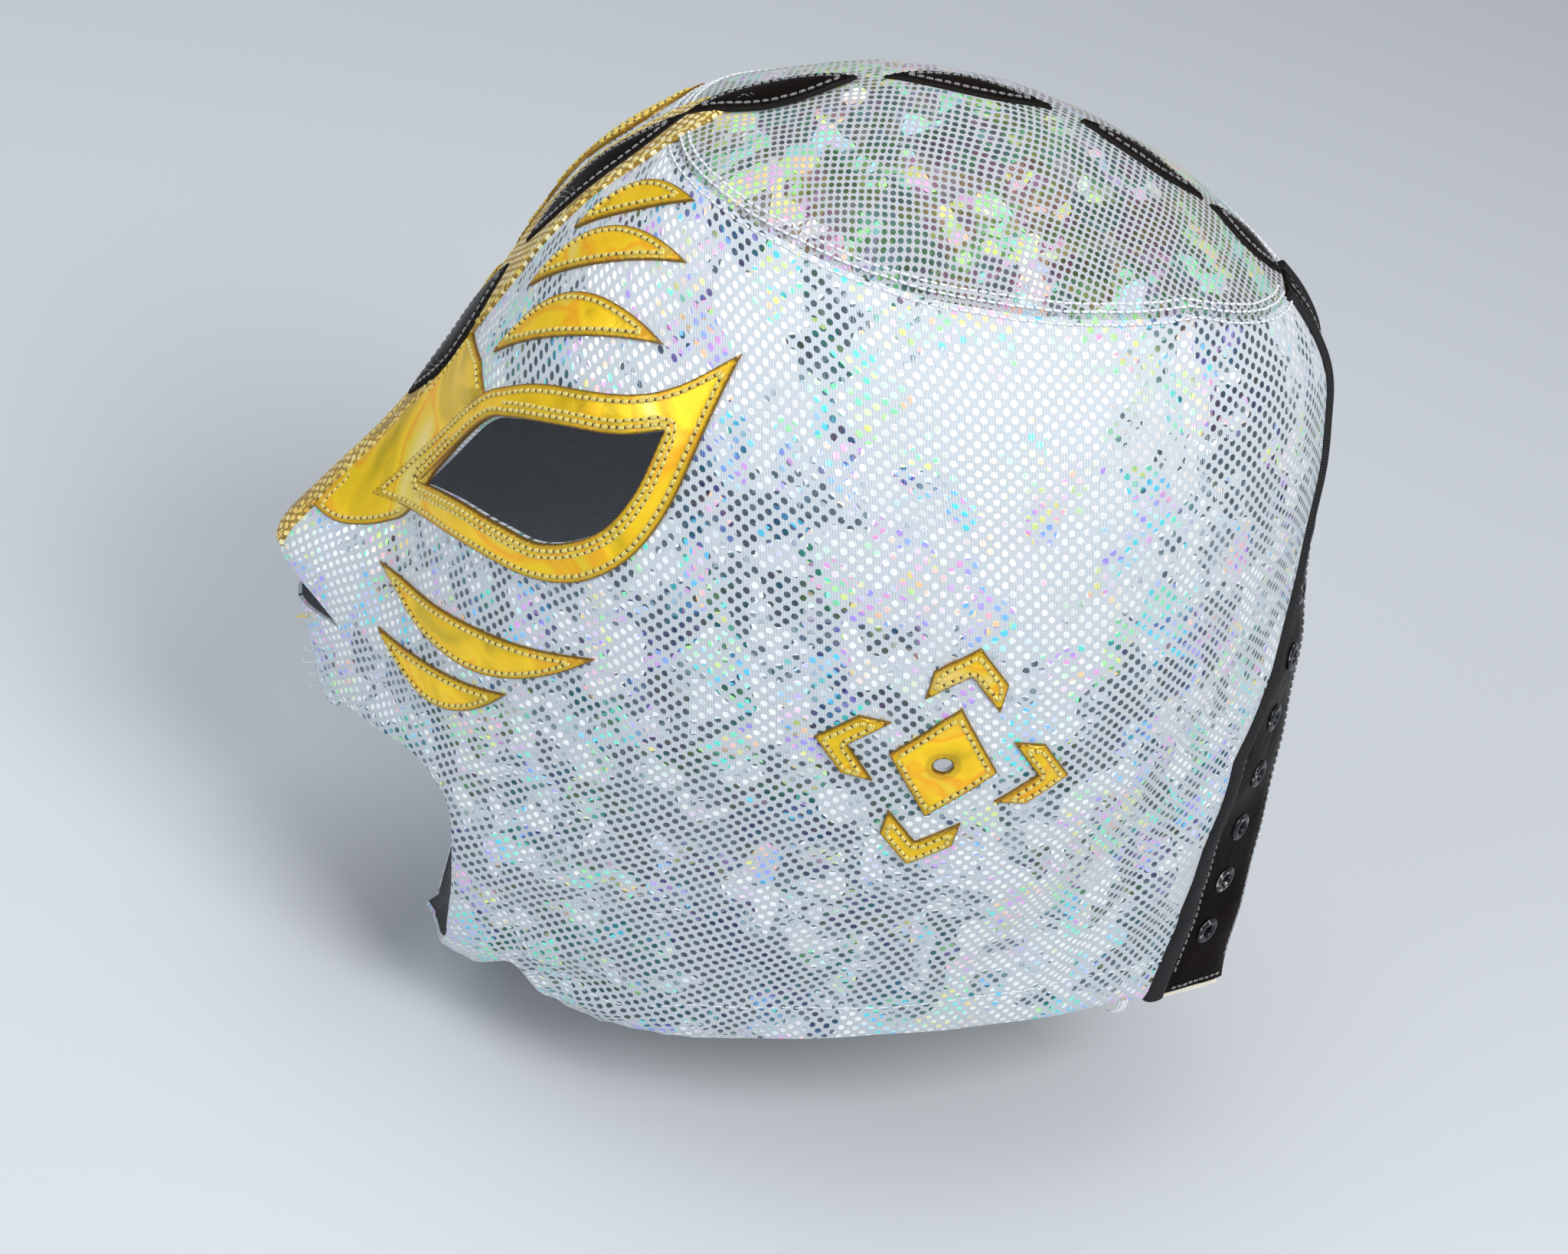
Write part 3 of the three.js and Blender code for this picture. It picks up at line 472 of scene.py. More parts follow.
def fill(loops, spacing, rings=()):
    """Triangulates a loop with holes. Returns points, faces and each point's distance from the edge."""
    lo, hi = loops[0].min(0), loops[0].max(0)
    pitch = spacing * 0.866
    nx, ny = int((hi[0] - lo[0]) / spacing) + 2, int((hi[1] - lo[1]) / pitch) + 2
    gx, gy = np.meshgrid(np.arange(nx), np.arange(ny))
    grid = np.stack([lo[0] + (gx + 0.5 * (gy % 2)) * spacing, lo[1] + gy * pitch], -1).reshape(-1, 2)
    grid = grid[within(grid, loops)]
    grid = grid[loop_distance(grid, loops) > max(rings, default=0) + spacing * 0.55]
    extra = [grid]
    for r in rings:
        for k, loop in enumerate(loops):
            others = loops[:k] + loops[k + 1:]
            for run in inset(loop, r if k == 0 else -r, spacing):
                pts = resample(run, spacing, closed=False)
                extra.append(pts[loop_distance(pts, others) > r - 0.05])
    points = np.concatenate([*loops, *extra])
    edges, at = [], 0
    for loop in loops:
        n = len(loop)
        edges += [(at + i, at + (i + 1) % n) for i in range(n)]
        at += n
    verts, _, faces, *_ = delaunay_2d_cdt([Vector(p) for p in points], edges, [], 0, 1e-5)
    verts = np.array([tuple(v) for v in verts])
    faces = np.array([f for f in faces if len(f) == 3])
    faces = faces[within(verts[faces].mean(1), loops)]
    a, b, c = (verts[faces[:, k]] for k in range(3))
    area = (b[:, 0] - a[:, 0]) * (c[:, 1] - a[:, 1]) - (b[:, 1] - a[:, 1]) * (c[:, 0] - a[:, 0])
    real = np.abs(area) > 1e-7
    faces, area = faces[real], area[real]
    faces[area < 0] = faces[area < 0][:, ::-1]
    used = np.unique(faces)
    remap = np.full(len(verts), -1)
    remap[used] = np.arange(len(used))
    return verts[used], remap[faces], loop_distance(verts[used], loops)


# Meshes
def make_mesh(label, verts, faces, material, slot=None, uv=None, edge=None, sharp=40, inner=0):
    """A mesh in millimetres. With a slot it dresses the node named label, and uv and edge are
    given for its upper sheet; inner counts the faces of a sheet that has the lining below it."""
    name = "fine_" + label if slot else label
    mesh = bpy.data.meshes.new(name)
    mesh.from_pydata((np.asarray(verts) / 1000).tolist(), [], [list(map(int, f)) for f in faces])
    mesh.polygons.foreach_set("use_smooth", [True] * len(mesh.polygons))
    if uv is not None:
        layer = mesh.uv_layers.new(name="cloth")
        loops = np.zeros(len(mesh.loops), int)
        mesh.loops.foreach_get("vertex_index", loops)
        layer.data.foreach_set("uv", np.tile(np.asarray(uv, float), (2, 1))[loops].ravel())
    if edge is not None:
        mesh.attributes.new("edge", "FLOAT", "POINT").data.foreach_set("value", np.tile(edge, 2))
    mesh.materials.append(material)
    if inner:
        mesh.materials.append(LINING)
        below = [int(inner <= i < 2 * inner) for i in range(len(mesh.polygons))]
        mesh.polygons.foreach_set("material_index", below)
    mesh.validate()
    if sharp:
        mesh.set_sharp_from_angle(angle=math.radians(sharp))
    obj = bpy.data.objects.new(name, mesh)
    bpy.context.scene.collection.objects.link(obj)
    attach(obj, "root")
    if slot:
        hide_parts(label)
    return obj


def shell(top, bottom, faces):
    """Closed thin body from an upper and a lower sheet that share their triangles."""
    n = len(top)
    seen = {e: True for a, b, c in faces for e in ((a, b), (b, c), (c, a))}
    walls = [(a, a + n, b + n, b) for a, b in seen if (b, a) not in seen]
    upper, lower = [tuple(f) for f in faces], [tuple(i + n for i in f[::-1]) for f in faces]
    return np.concatenate([top, bottom]), upper + lower + walls


def mirror_faces(faces):
    return [tuple(f)[::-1] for f in faces]


def lay(name, at, lift, foot, faces, material, slot, uv, turned=False, sides=(1, -1), shift=None, **more):
    """A piece laid on the cloth between two heights, and its mirror image.

    turned: its pattern runs against the outer face. shift: sets the mirrored weave apart.
    """
    made = []
    for side in sides:
        top, _ = cloth(at[:, 0], at[:, 1], lift, at[:, 2] * side)
        low, _ = cloth(at[:, 0], at[:, 1], foot, at[:, 2] * side)
        verts, quads = shell(top, low, faces)
        if (side < 0) != turned:
            quads = mirror_faces(quads)
        label = name if len(sides) == 1 else name + ("_left" if side > 0 else "_right")
        own = uv if shift is None else uv * [side, 1] + [shift if side < 0 else 0, 0]
        made.append(make_mesh(label, verts, quads, material, slot, own, **more))
    return made


# a stitch: a capsule of six sides, set along many places
RING = [(math.cos(a), math.sin(a)) for a in np.linspace(0, 2 * math.pi, 6, endpoint=False)]
CAP = [(-1.0, 0.35), (-0.72, 0.86), (0.0, 1.0), (0.72, 0.86), (1.0, 0.35)]
STITCH = np.array([[s, r * c, r * d] for s, r in CAP for c, d in RING])
STITCH_FACES = [(k + i, k + (i + 1) % 6, k + 6 + (i + 1) % 6, k + 6 + i) for k in range(0, 24, 6) for i in range(6)]
STITCH_FACES += [tuple(range(5, -1, -1)), tuple(range(24, 30))]


class Stitching:
    """Stitches of one thread, gathered into one mesh."""

    def __init__(self):
        self.verts, self.faces, self.count = [], [], 0

    def add(self, start, end, normal, radius=0.3):
        mid, axis = (start + end) / 2, end - start
        length = np.linalg.norm(axis, axis=1, keepdims=True) + 1e-9
        axis /= length
        up = normal - (normal * axis).sum(1, keepdims=True) * axis
        up /= np.linalg.norm(up, axis=1, keepdims=True) + 1e-9
        across = np.cross(axis, up)
        s, x, y = (STITCH[None, :, k, None] for k in range(3))
        v = mid[:, None] + s * axis[:, None] * length[:, None] / 2
        v = v + x * across[:, None] * radius + y * radius * up[:, None]
        for _ in range(len(v)):
            self.faces += [tuple(i + self.count for i in f) for f in STITCH_FACES]
            self.count += len(STITCH)
        self.verts.append(v.reshape(-1, 3))

    def along(self, places, lift, pitch, length, radius=0.3, jitter=0.12, hole_shade_marks=None):
        """Stitches down a line of (u, t, side) places, and painted shade marks at the needle holes between them."""
        places = np.asarray(places, float)
        if len(places) < 3:
            return
        p, n = cloth(places[:, 0], places[:, 1], lift, places[:, 2])
        s = run_length(p)
        if s[-1] < pitch:
            return
        count = max(1, int(round(s[-1] / pitch)))
        step = s[-1] / count
        mid = (np.arange(count) + 0.5) * step

        def get(at, values):
            return np.stack([np.interp(at, s, values[:, c]) for c in range(3)], -1)

        half = length / 2 * (1 + rng.uniform(-0.1, 0.1, count))
        a, b, up = get(mid - half, p), get(mid + half, p), get(mid, n)
        wobble = np.cross(up, b - a)
        wobble /= np.linalg.norm(wobble, axis=1, keepdims=True) + 1e-9
        a += wobble * rng.uniform(-jitter, jitter, count)[:, None]
        b += wobble * rng.uniform(-jitter, jitter, count)[:, None]
        self.add(a, b, up, radius)
        # painted shade: dark marks sunk into the needle holes between stitches
        if hole_shade_marks is not None:
            mark = np.arange(1, count) * step
            up = get(mark, n)
            hole_shade_marks.add(get(mark - 0.26, p) - up * 0.1, get(mark + 0.26, p) - up * 0.1, up, 0.36)

    def build(self, name, material):
        make_mesh(name, np.concatenate(self.verts), self.faces, material, sharp=0)


class Shading:
    """A new material, with short calls that add nodes to it."""

    def __init__(self, name):
        self.material = bpy.data.materials.new(name)
        self.material.use_nodes = True
        self.tree = self.material.node_tree
        self.shader = self.tree.nodes["Principled BSDF"]

    def put(self, socket, value):
        if isinstance(value, bpy.types.NodeSocket):
            self.tree.links.new(value, socket)
        else:
            socket.default_value = value

    def node(self, kind, inputs, **props):
        n = self.tree.nodes.new("ShaderNode" + kind)
        for key, value in props.items():
            setattr(n, key, value)
        for key, value in inputs.items():
            self.put(n.inputs[key], value)
        return n

    def finish(self, inputs):
        for key, value in inputs.items():
            self.put(self.shader.inputs[key], value)
        return self.material

    def uv(self):
        return self.node("UVMap", {}, uv_map="cloth").outputs[0]

    def here(self):
        return self.node("TexCoord", {}).outputs["Object"]

    def edge(self):
        return self.node("Attribute", {}, attribute_name="edge").outputs["Fac"]

    def maths(self, operation, a, b=0.0):
        return self.node("Math", {0: a, 1: b}, operation=operation).outputs[0]

    def add(self, a, b):
        return self.maths("ADD", a, b)

    def less(self, a, b):
        return self.maths("SUBTRACT", a, b)

    def times(self, a, b):
        return self.maths("MULTIPLY", a, b)

    def vector(self, operation, a, b=None, scale=None):
        inputs = {0: a, 1: b, "Scale": scale}
        n = self.node("VectorMath", {k: v for k, v in inputs.items() if v is not None}, operation=operation)
        return n.outputs["Value" if operation in ("LENGTH", "DISTANCE") else "Vector"]

    def ramp(self, value, stops):
        n = self.node("ValToRGB", {0: value})
        while len(n.color_ramp.elements) < len(stops):
            n.color_ramp.elements.new(0.5)
        for element, (at, color) in zip(n.color_ramp.elements, stops):
            element.position = at
            element.color = (*color, 1)
        return n.outputs[0]

    def mix(self, factor, a, b, blend="MIX"):
        a, b = ((*v, 1) if isinstance(v, tuple) else v for v in (a, b))
        return self.node("Mix", {0: factor, 6: a, 7: b}, data_type="RGBA", blend_type=blend).outputs[2]

    def between(self, value, low, high):
        inputs = {"Value": value, "From Min": low, "From Max": high}
        return self.node("MapRange", inputs, interpolation_type="SMOOTHSTEP").outputs[0]

    def noise(self, place, scale, detail=2.0, distortion=0.0, output="Fac"):
        inputs = {"Vector": place, "Scale": scale, "Detail": detail, "Distortion": distortion}
        return self.node("TexNoise", inputs).outputs[output]

    def wave(self, place, scale, distortion, way, detail=2.0):
        inputs = {"Vector": place, "Scale": scale, "Distortion": distortion, "Detail": detail}
        return self.node("TexWave", inputs, bands_direction=way).outputs["Fac"]

    def parts(self, texture):
        """Red, green and blue of a texture's random colour."""
        return self.node("SeparateColor", {"Color": texture.outputs["Color"]}).outputs

    def bump(self, height, strength, distance, **inputs):
        return self.node("Bump", {"Height": height, "Strength": strength, "Distance": distance, **inputs}).outputs[0]


GREY = (0.5, 0.5, 0.5)  # the middle of a noise's colour


def dotted(name, base_low, base_high, pitch, radius, tones, tint, rotate=0.0, painted_light=(), shade=0.0, vivid=0.0,
           folds=0.0):
    """Knit with a close pattern of foil dots, whose shine changes from shard to shard."""
    s = Shading(name)
    place = s.node("Mapping", {"Vector": s.uv(), "Rotation": (0, 0, rotate)}).outputs[0]
    # the knit pulls its rows slightly out of line
    wander = s.vector("SUBTRACT", s.noise(place, 0.03, 1.0, output="Color"), GREY)
    place = s.vector("ADD", place, s.vector("SCALE", wander, scale=5.0))
    step = (pitch, pitch * 0.95, 1000.0)
    near = []
    for shift in (0.0, 0.5):
        cell = s.vector("ADD", s.vector("DIVIDE", place, step), (shift, shift, 0))
        spot = s.vector("SUBTRACT", s.vector("FRACTION", cell), (0.5, 0.5, 0))
        near.append(s.vector("LENGTH", s.vector("MULTIPLY", s.vector("MULTIPLY", spot, step), (1, 1, 0))))
    uneven = s.times(s.less(s.noise(place, 0.8), 0.5), 0.2)
    reach = s.add(s.maths("MINIMUM", *near), uneven)
    dot = s.less(1.0, s.between(reach, radius - 0.08, radius + 0.08))
    # shards: broken foil in three sizes, angular, each with its own shine and colour
    grades = []
    for scale, turn in (((0.075, 0.06, 1), 0.7), ((0.17, 0.13, 1), -0.5), ((0.34, 0.5, 1), 0.2)):
        at = s.node("Mapping", {"Vector": place, "Scale": scale, "Rotation": (0, 0, turn)}).outputs[0]
        grades.append(s.node("TexVoronoi", {"Vector": at, "Scale": 1.0, "Randomness": 1.0},
                             voronoi_dimensions="2D", distance="CHEBYCHEV"))
    first, second, third = map(s.parts, grades)
    region = s.noise(place, 0.014)
    tone = s.add(s.times(first[0], 0.30), s.times(second[0], 0.42))
    tone = s.add(tone, s.times(third[0], 0.28))
    tone = s.add(tone, s.times(s.less(region, 0.5), 0.6))
    tone = s.less(tone, shade)
    if painted_light:
        # the same on both sides of the middle plane
        here = s.here()
        here = s.vector("MAXIMUM", here, s.vector("MULTIPLY", here, (-1, 1, 1)))
    # painted highlights and painted shade: the foil's tone raised or lowered around given places
    for centre, core, reach, gain in painted_light:
        tone = s.add(tone, s.times(s.between(s.vector("DISTANCE", here, centre), reach, core), gain))
    # painted light and shade: the foil's tone shifted by the mesh's edge attribute, which holds fold slopes and the
    # hem rim
    if folds:
        tone = s.add(tone, s.times(s.edge(), folds))
    bright = s.ramp(tone, tones)
    turn = s.add(s.times(third[1], 0.5), s.times(first[1], 2.0))
    hue = s.ramp(s.maths("FRACT", turn), tint)
    strength = s.between(s.add(second[2], s.times(third[2], 0.6)), 0.70 - vivid, 1.20 - vivid)
    foil = s.mix(strength, bright, s.mix(1.0, bright, hue, "MULTIPLY"))
    ribs = s.wave(place, 0.55, 1.5, "X", 1.0)
    knit = s.mix(ribs, base_low, base_high)
    # each shard faces its own way
    tilt = s.vector("ADD", *(s.vector("SUBTRACT", grade.outputs["Color"], GREY) for grade in grades[:2]))
    tilt = s.vector("SCALE", tilt, scale=s.times(dot, 0.38))
    facing = s.vector("NORMALIZE", s.vector("ADD", s.node("NewGeometry", {}).outputs["Normal"], tilt))
    height = s.add(s.times(dot, 0.6), s.times(ribs, 0.35))
    return s.finish({"Base Color": s.mix(dot, knit, foil), "Metallic": s.times(dot, 0.4),
                     "Roughness": s.less(0.82, s.times(dot, 0.5)), "Sheen Weight": 0.15,
                     "Normal": s.bump(height, 0.5, 0.0002, Normal=facing)})


def gold_vinyl():
    s = Shading("gold_vinyl")
    place = s.here()
    tone = s.ramp(s.noise(place, 38.0, 2.5, 1.2), GOLD_TONES)
    patch = s.parts(s.node("TexVoronoi", {"Vector": place, "Scale": 70.0}, feature="SMOOTH_F1"))
    hue = s.ramp(patch[0], GOLD_HUES)
    color = s.mix(0.55, tone, s.mix(1.0, tone, hue, "MULTIPLY"))
    edge = s.edge()
    # darker brown towards the piece's edge, and darkest brown at its rim
    inner = s.mix(s.times(s.between(edge, 2.1, 1.2), 0.45), color, (0.40, 0.22, 0.01))
    rim_share = s.less(1.0, s.between(edge, 0.05, 0.6))
    fine = s.noise(place, 900.0, 3.0)
    wrinkle = s.noise(place, 160.0, 3.0, 0.6)
    return s.finish({"Base Color": s.mix(s.times(rim_share, 0.85), inner, (0.13, 0.06, 0.008)), "Metallic": 0.36,
                     "Roughness": s.add(0.22, s.times(fine, 0.2)), "Specular IOR Level": 0.35,
                     "Coat Weight": 0.05, "Coat Roughness": 0.12,
                     "Normal": s.bump(s.add(wrinkle, s.times(fine, 0.12)), 0.35, 0.0008)})


def black_vinyl():
    s = Shading("black_vinyl")
    place = s.here()
    color = s.ramp(s.noise(place, 60.0, 3.0), [(0.3, (0.005, 0.004, 0.003)), (0.7, (0.011, 0.008, 0.007))])
    # a lighter grey at the rim of the piece
    rim_share = s.less(1.0, s.between(s.edge(), 0.0, 0.5))
    fine = s.noise(place, 1400.0)
    return s.finish({"Base Color": s.mix(s.times(rim_share, 0.5), color, (0.03, 0.029, 0.028)),
                     "Roughness": s.add(0.12, s.times(fine, 0.14)), "Specular IOR Level": 0.008,
                     "Normal": s.bump(s.noise(place, 120.0, 3.5, 1.0), 0.2, 0.0010)})


def ribbed_binding():
    s = Shading("black_binding")
    ribs = s.wave(s.uv(), 0.55, 0.6, "Y", 1.0)
    return s.finish({"Base Color": s.ramp(ribs, [(0.2, (0.006, 0.006, 0.007)), (0.8, (0.017, 0.017, 0.019))]),
                     "Roughness": 0.6, "Specular IOR Level": 0.25, "Normal": s.bump(ribs, 0.5, 0.0003)})


def cotton():
    s = Shading("backing")
    place = s.here()
    weave = s.times(s.wave(place, 420.0, 1.0, "Z"), s.wave(place, 420.0, 1.0, "X"))
    tone = s.mix(s.noise(place, 30.0, 3.0), (0.80, 0.74, 0.60), (0.90, 0.87, 0.78))
    return s.finish({"Base Color": s.mix(s.times(weave, 0.3), tone, (0.62, 0.57, 0.45)), "Roughness": 0.9,
                     "Normal": s.bump(weave, 0.6, 0.0003)})


def enamelled_steel():
    s = Shading("eyelet_metal")
    wear = s.noise(s.here(), 700.0, 4.0)
    bare = s.between(wear, 0.56, 0.66)
    return s.finish({"Base Color": s.mix(bare, (0.035, 0.036, 0.042), (0.42, 0.40, 0.37)),
                     "Roughness": s.add(0.2, s.times(wear, 0.25)), "Metallic": 0.85,
                     "Normal": s.bump(wear, 0.15, 0.0002)})


def thread(name, low, high):
    s = Shading(name)
    twist = s.wave(s.here(), 900.0, 2.0, "DIAGONAL")
    return s.finish({"Base Color": s.mix(twist, low, high), "Roughness": 0.55, "Sheen Weight": 0.3,
                     "Normal": s.bump(twist, 0.5, 0.0002)})


def lining():
    """The plain back of the knit, inside the mask."""
    s = Shading("knit_back")
    uv = s.uv()
    knit = s.times(s.wave(uv, 0.5, 1.0, "X"), s.wave(uv, 0.4, 1.0, "Y"))
    return s.finish({"Base Color": s.mix(knit, (0.20, 0.21, 0.23), (0.34, 0.35, 0.38)), "Roughness": 0.9,
                     "Normal": s.bump(knit, 0.4, 0.0003)})


GOLD_TONES = [
    (0.30, (0.50, 0.37, 0.005)), (0.38, (0.70, 0.48, 0.007)), (0.45, (0.92, 0.60, 0.010)), (0.52, (1.0, 0.68, 0.018)),
    (0.57, (0.97, 0.46, 0.016)), (0.62, (0.92, 0.66, 0.04)), (0.72, (0.95, 0.76, 0.30))]
GOLD_HUES = [
    (0.0, (0.75, 0.78, 0.30)), (0.35, (1, 0.93, 0.75)), (0.6, (1, 0.98, 0.9)), (0.85, (1, 0.75, 0.62)),
    (1.0, (0.95, 0.9, 0.8))]
SILVER_TONES = [
    (0.20, (0.06, 0.085, 0.105)), (0.44, (0.10, 0.15, 0.18)), (0.49, (0.22, 0.30, 0.34)), (0.53, (0.53, 0.61, 0.66)),
    (0.57, (0.9, 0.95, 1.0)), (0.64, (1, 1, 1))]
CROWN_TONES = [
    (0.22, (0.10, 0.095, 0.09)), (0.48, (0.20, 0.19, 0.17)), (0.59, (0.33, 0.33, 0.30)), (0.65, (0.86, 0.88, 0.80))]
FOIL_TONES = [(0.2, (0.35, 0.20, 0.04)), (0.4, (0.95, 0.66, 0.16)), (0.6, (1.0, 0.9, 0.55))]
RAINBOW = [
    (0.0, (0.12, 0.72, 1.0)), (0.15, (0.16, 0.95, 0.80)), (0.32, (0.30, 0.95, 0.50)), (0.44, (0.85, 0.95, 0.32)),
    (0.54, (1.0, 0.68, 0.42)), (0.64, (0.95, 0.45, 0.85)), (0.80, (0.42, 0.36, 1.0)), (1.0, (0.12, 0.72, 1.0))]
CROWN_RAINBOW = [
    (0.0, (0.95, 0.90, 0.28)), (0.14, (0.48, 0.95, 0.30)), (0.34, (0.28, 0.92, 0.52)), (0.50, (0.34, 0.86, 0.95)),
    (0.64, (0.58, 0.52, 1.0)), (0.78, (0.95, 0.46, 0.86)), (0.90, (1.0, 0.64, 0.42)), (1.0, (0.95, 0.90, 0.28))]
WARM = [(0.0, (1.0, 0.95, 0.6)), (0.4, (1.0, 0.8, 0.5)), (0.7, (1.0, 1.0, 0.85)), (1.0, (0.9, 0.9, 0.5))]

# painted highlights and painted shade on the foil's tone: centre, full within, gone beyond, gain
PAINTED_LIGHT_PATCHES = [
    ((0.074, 0.018, -0.040), 0.018, 0.052, 0.40), ((0.066, -0.036, -0.165), 0.022, 0.064, -0.20),
    ((0.020, -0.104, -0.126), 0.012, 0.040, 0.22), ((0.049, -0.052, -0.040), 0.010, 0.030, 0.25),
    ((0.062, 0.058, -0.150), 0.015, 0.045, 0.04),
]
# the silver knit's tone carries painted highlights and painted shade, and painted light and shade on its folds and hem
KNIT = dotted("silver_knit", (0.46, 0.51, 0.56), (0.58, 0.63, 0.68), 3.15, 0.68, SILVER_TONES, RAINBOW, 0.1,
              shade=-0.04, painted_light=PAINTED_LIGHT_PATCHES, folds=0.55)
CROWN_KNIT = dotted("crown_knit", (0.38, 0.40, 0.44), (0.52, 0.54, 0.58), 2.45, 0.6, CROWN_TONES, CROWN_RAINBOW, 0.85,
                    vivid=0.6)
GOLD_FOIL = dotted("gold_foil_knit", (0.22, 0.125, 0.01), (0.40, 0.25, 0.03), 2.7, 0.66, FOIL_TONES, WARM)
LINING = lining()
GOLD = gold_vinyl()
BLACK = black_vinyl()
BINDING = ribbed_binding()
BACKING = cotton()
STEEL = enamelled_steel()
GOLD_THREAD = thread("gold_thread", (0.50, 0.38, 0.03), (0.88, 0.74, 0.20))
DARK_THREAD = thread("dark_thread", (0.09, 0.09, 0.095), (0.30, 0.30, 0.31))
# painted shade inside the needle holes
HOLE_SHADE = thread("painted_shade_in_holes", (0.045, 0.022, 0.003), (0.12, 0.06, 0.008))
PALE_THREAD = thread("pale_thread", (0.62, 0.65, 0.70), (0.88, 0.9, 0.94))
FLOOR = Shading("floor").finish({"Base Color": (0.62, 0.66, 0.70, 1), "Roughness": 0.85})

gold_thread, dark_thread, pale_thread, strip_thread, hole_shade_marks, strands = (Stitching() for _ in range(6))


# Trim
def piece_lift(edge, low, high, groove):
    """Height over an appliqué: a rounded edge, and a dip along its stitching."""
    round_off = np.clip(edge / 0.45, 0, 1)
    lift = high - 0.35 * (1 - np.sqrt(np.clip(1 - (1 - round_off) ** 2, 0, 1)))
    lift += 0.18 * (1 - np.exp(-edge / 3.0))
    return lift - 0.22 * np.exp(-(((edge - groove) / 0.55) ** 2))


def places_of(points, view, clamp):
    """Places of pattern points, kept on the left of a line where there is a clamp."""
    at = project(points, view)
    if clamp:
        at[:, 0] = np.where(at[:, 2] > 0, clamp(at[:, 0], at[:, 1]), 0)
        at[:, 2] = 1
    return at


def applique(name, loop, view, material=None, low=-0.2, high=0.85, holes=(), groove=1.35, clamp=None, **more):
    """A trim piece cut to a view's pattern and laid on the cloth, and its mirror image."""
    loops = [resample(a, 0.9) for a in (loop, *holes)]
    flat, faces, edge = fill(loops, 1.5, (0.25, 0.6, groove - 0.5, groove, groove + 0.5))
    slot = "black_vinyl" if material else "gold_vinyl"
    lay(name, places_of(flat, view, clamp), piece_lift(edge, low, high, groove), low, faces, material or GOLD, slot,
        flat, edge=edge, shift=500, **more)


def stitch_row(loop, view, distance, thread, lift, radius=0.5, sides=(1, -1), clamp=None, keep=None):
    """A row of stitches at a distance inside a view's pattern."""
    for run in inset(loop, distance, 0.6):
        at = places_of(run, view, clamp)
        # gold stitches get painted shade marks at their needle holes
        holes = hole_shade_marks if thread is gold_thread else None
        for part in stretches(at, np.ones(len(at), bool) if keep is None else keep(run)):
            for side in sides:
                thread.along(part * [1, 1, side], lift, 1.85, 1.45, radius, hole_shade_marks=holes)


# Cloth panels: lengths round and down the cloth, for the weave
WEAVE_P = half_point(*np.meshgrid(np.linspace(0, 1, 201), np.linspace(0, LAST, LAST * 6 + 7)))
STEPS_ROUND = np.linalg.norm(np.diff(WEAVE_P, axis=1), axis=2)
STEPS_DOWN = np.linalg.norm(np.diff(WEAVE_P, axis=0), axis=2)
ROUND = np.concatenate([np.zeros((len(WEAVE_P), 1)), np.cumsum(STEPS_ROUND, axis=1)], 1)
ROUND -= ROUND[:, 100:101]
DOWN = np.concatenate([np.zeros((1, 201)), np.cumsum(STEPS_DOWN, axis=0)], 0)


def lookup(grid, u, t):
    x = np.clip(np.asarray(u) * 200, 0, 199.999)
    y = np.clip(np.asarray(t) / LAST * (grid.shape[0] - 1), 0, grid.shape[0] - 1.001)
    i, j = x.astype(int), y.astype(int)
    fx, fy = x - i, y - j
    upper = grid[j, i] * (1 - fx) + grid[j, i + 1] * fx
    lower = grid[j + 1, i] * (1 - fx) + grid[j + 1, i + 1] * fx
    return upper * (1 - fy) + lower * fy


def on_hood(line):
    """The stretch of a side-view line that lies on the hood, as (u, t)."""
    u, t, ok = side_place(line[:, 0], line[:, 1])
    idx = np.flatnonzero(ok & (line[:, 1] < 0) & (t < LAST - 0.02))
    return np.stack([u, t], -1)[idx[0]:idx[-1] + 1]


def to_middle(line, last=True):
    """A line of places carried along its rows to the middle plane, at its start and at its end."""
    rows = [[[0.0, line[0, 1]]], line, [[0.0, line[-1, 1]]]]
    wanted = [line[0, 0] > 1e-4, True, last and line[-1, 0] > 1e-4]
    return np.concatenate([r for r, k in zip(rows, wanted) if k])


FLAT = np.array([336.0, 10.5])  # stretches u and t so that triangles come out even
KNIT_GAP = 0.1  # between the knit and the placket


def side_loop():
    """Outline of a side panel in places, and its seam, hem and mouth."""
    rows = []
    for u in np.linspace(0, 1, 140):
        t = float(seam_row(u))
        if u > float(placket_edge(t, KNIT_GAP)):
            break
        rows.append((u, t))
    t = rows[-1][1]
    for _ in range(4):
        u_end = float(placket_edge(t, KNIT_GAP))
        t = float(seam_row(u_end))
    seam = np.array([*rows, (u_end, t)])
    hem = on_hood(smooth_line(HEM, 1.2))
    hem = hem[:np.flatnonzero(hem[:, 0] < placket_edge(hem[:, 1], KNIT_GAP))[-1] + 1]
    end_t = float(hem[-1, 1])
    ts = np.linspace(t, end_t, 110)
    edge = np.stack([placket_edge(ts, KNIT_GAP), ts], -1)[::-1]
    hem = np.concatenate([to_middle(hem, False), [[float(placket_edge(end_t, KNIT_GAP)), end_t]]])
    mouth = to_middle(on_hood(smooth_line(MOUTH, 1.2)))
    nostril = to_middle(on_hood(straight_line(NOSTRIL, 0.8)))

    def middle(start, end, count):
        return np.stack([np.zeros(count), np.linspace(start, end, count)], -1)

    loop = np.concatenate([
        middle(seam[0, 1], nostril[0, 1], 60), nostril, middle(nostril[-1, 1], mouth[0, 1], 12), mouth,
        middle(mouth[-1, 1], hem[0, 1], 10), hem, edge[1:-1], seam[::-1][:-1]])
    gap = np.linalg.norm(np.diff(np.concatenate([loop, loop[:1]]) * FLAT, axis=0), axis=1)
    return loop[gap > 0.02], seam, hem, mouth


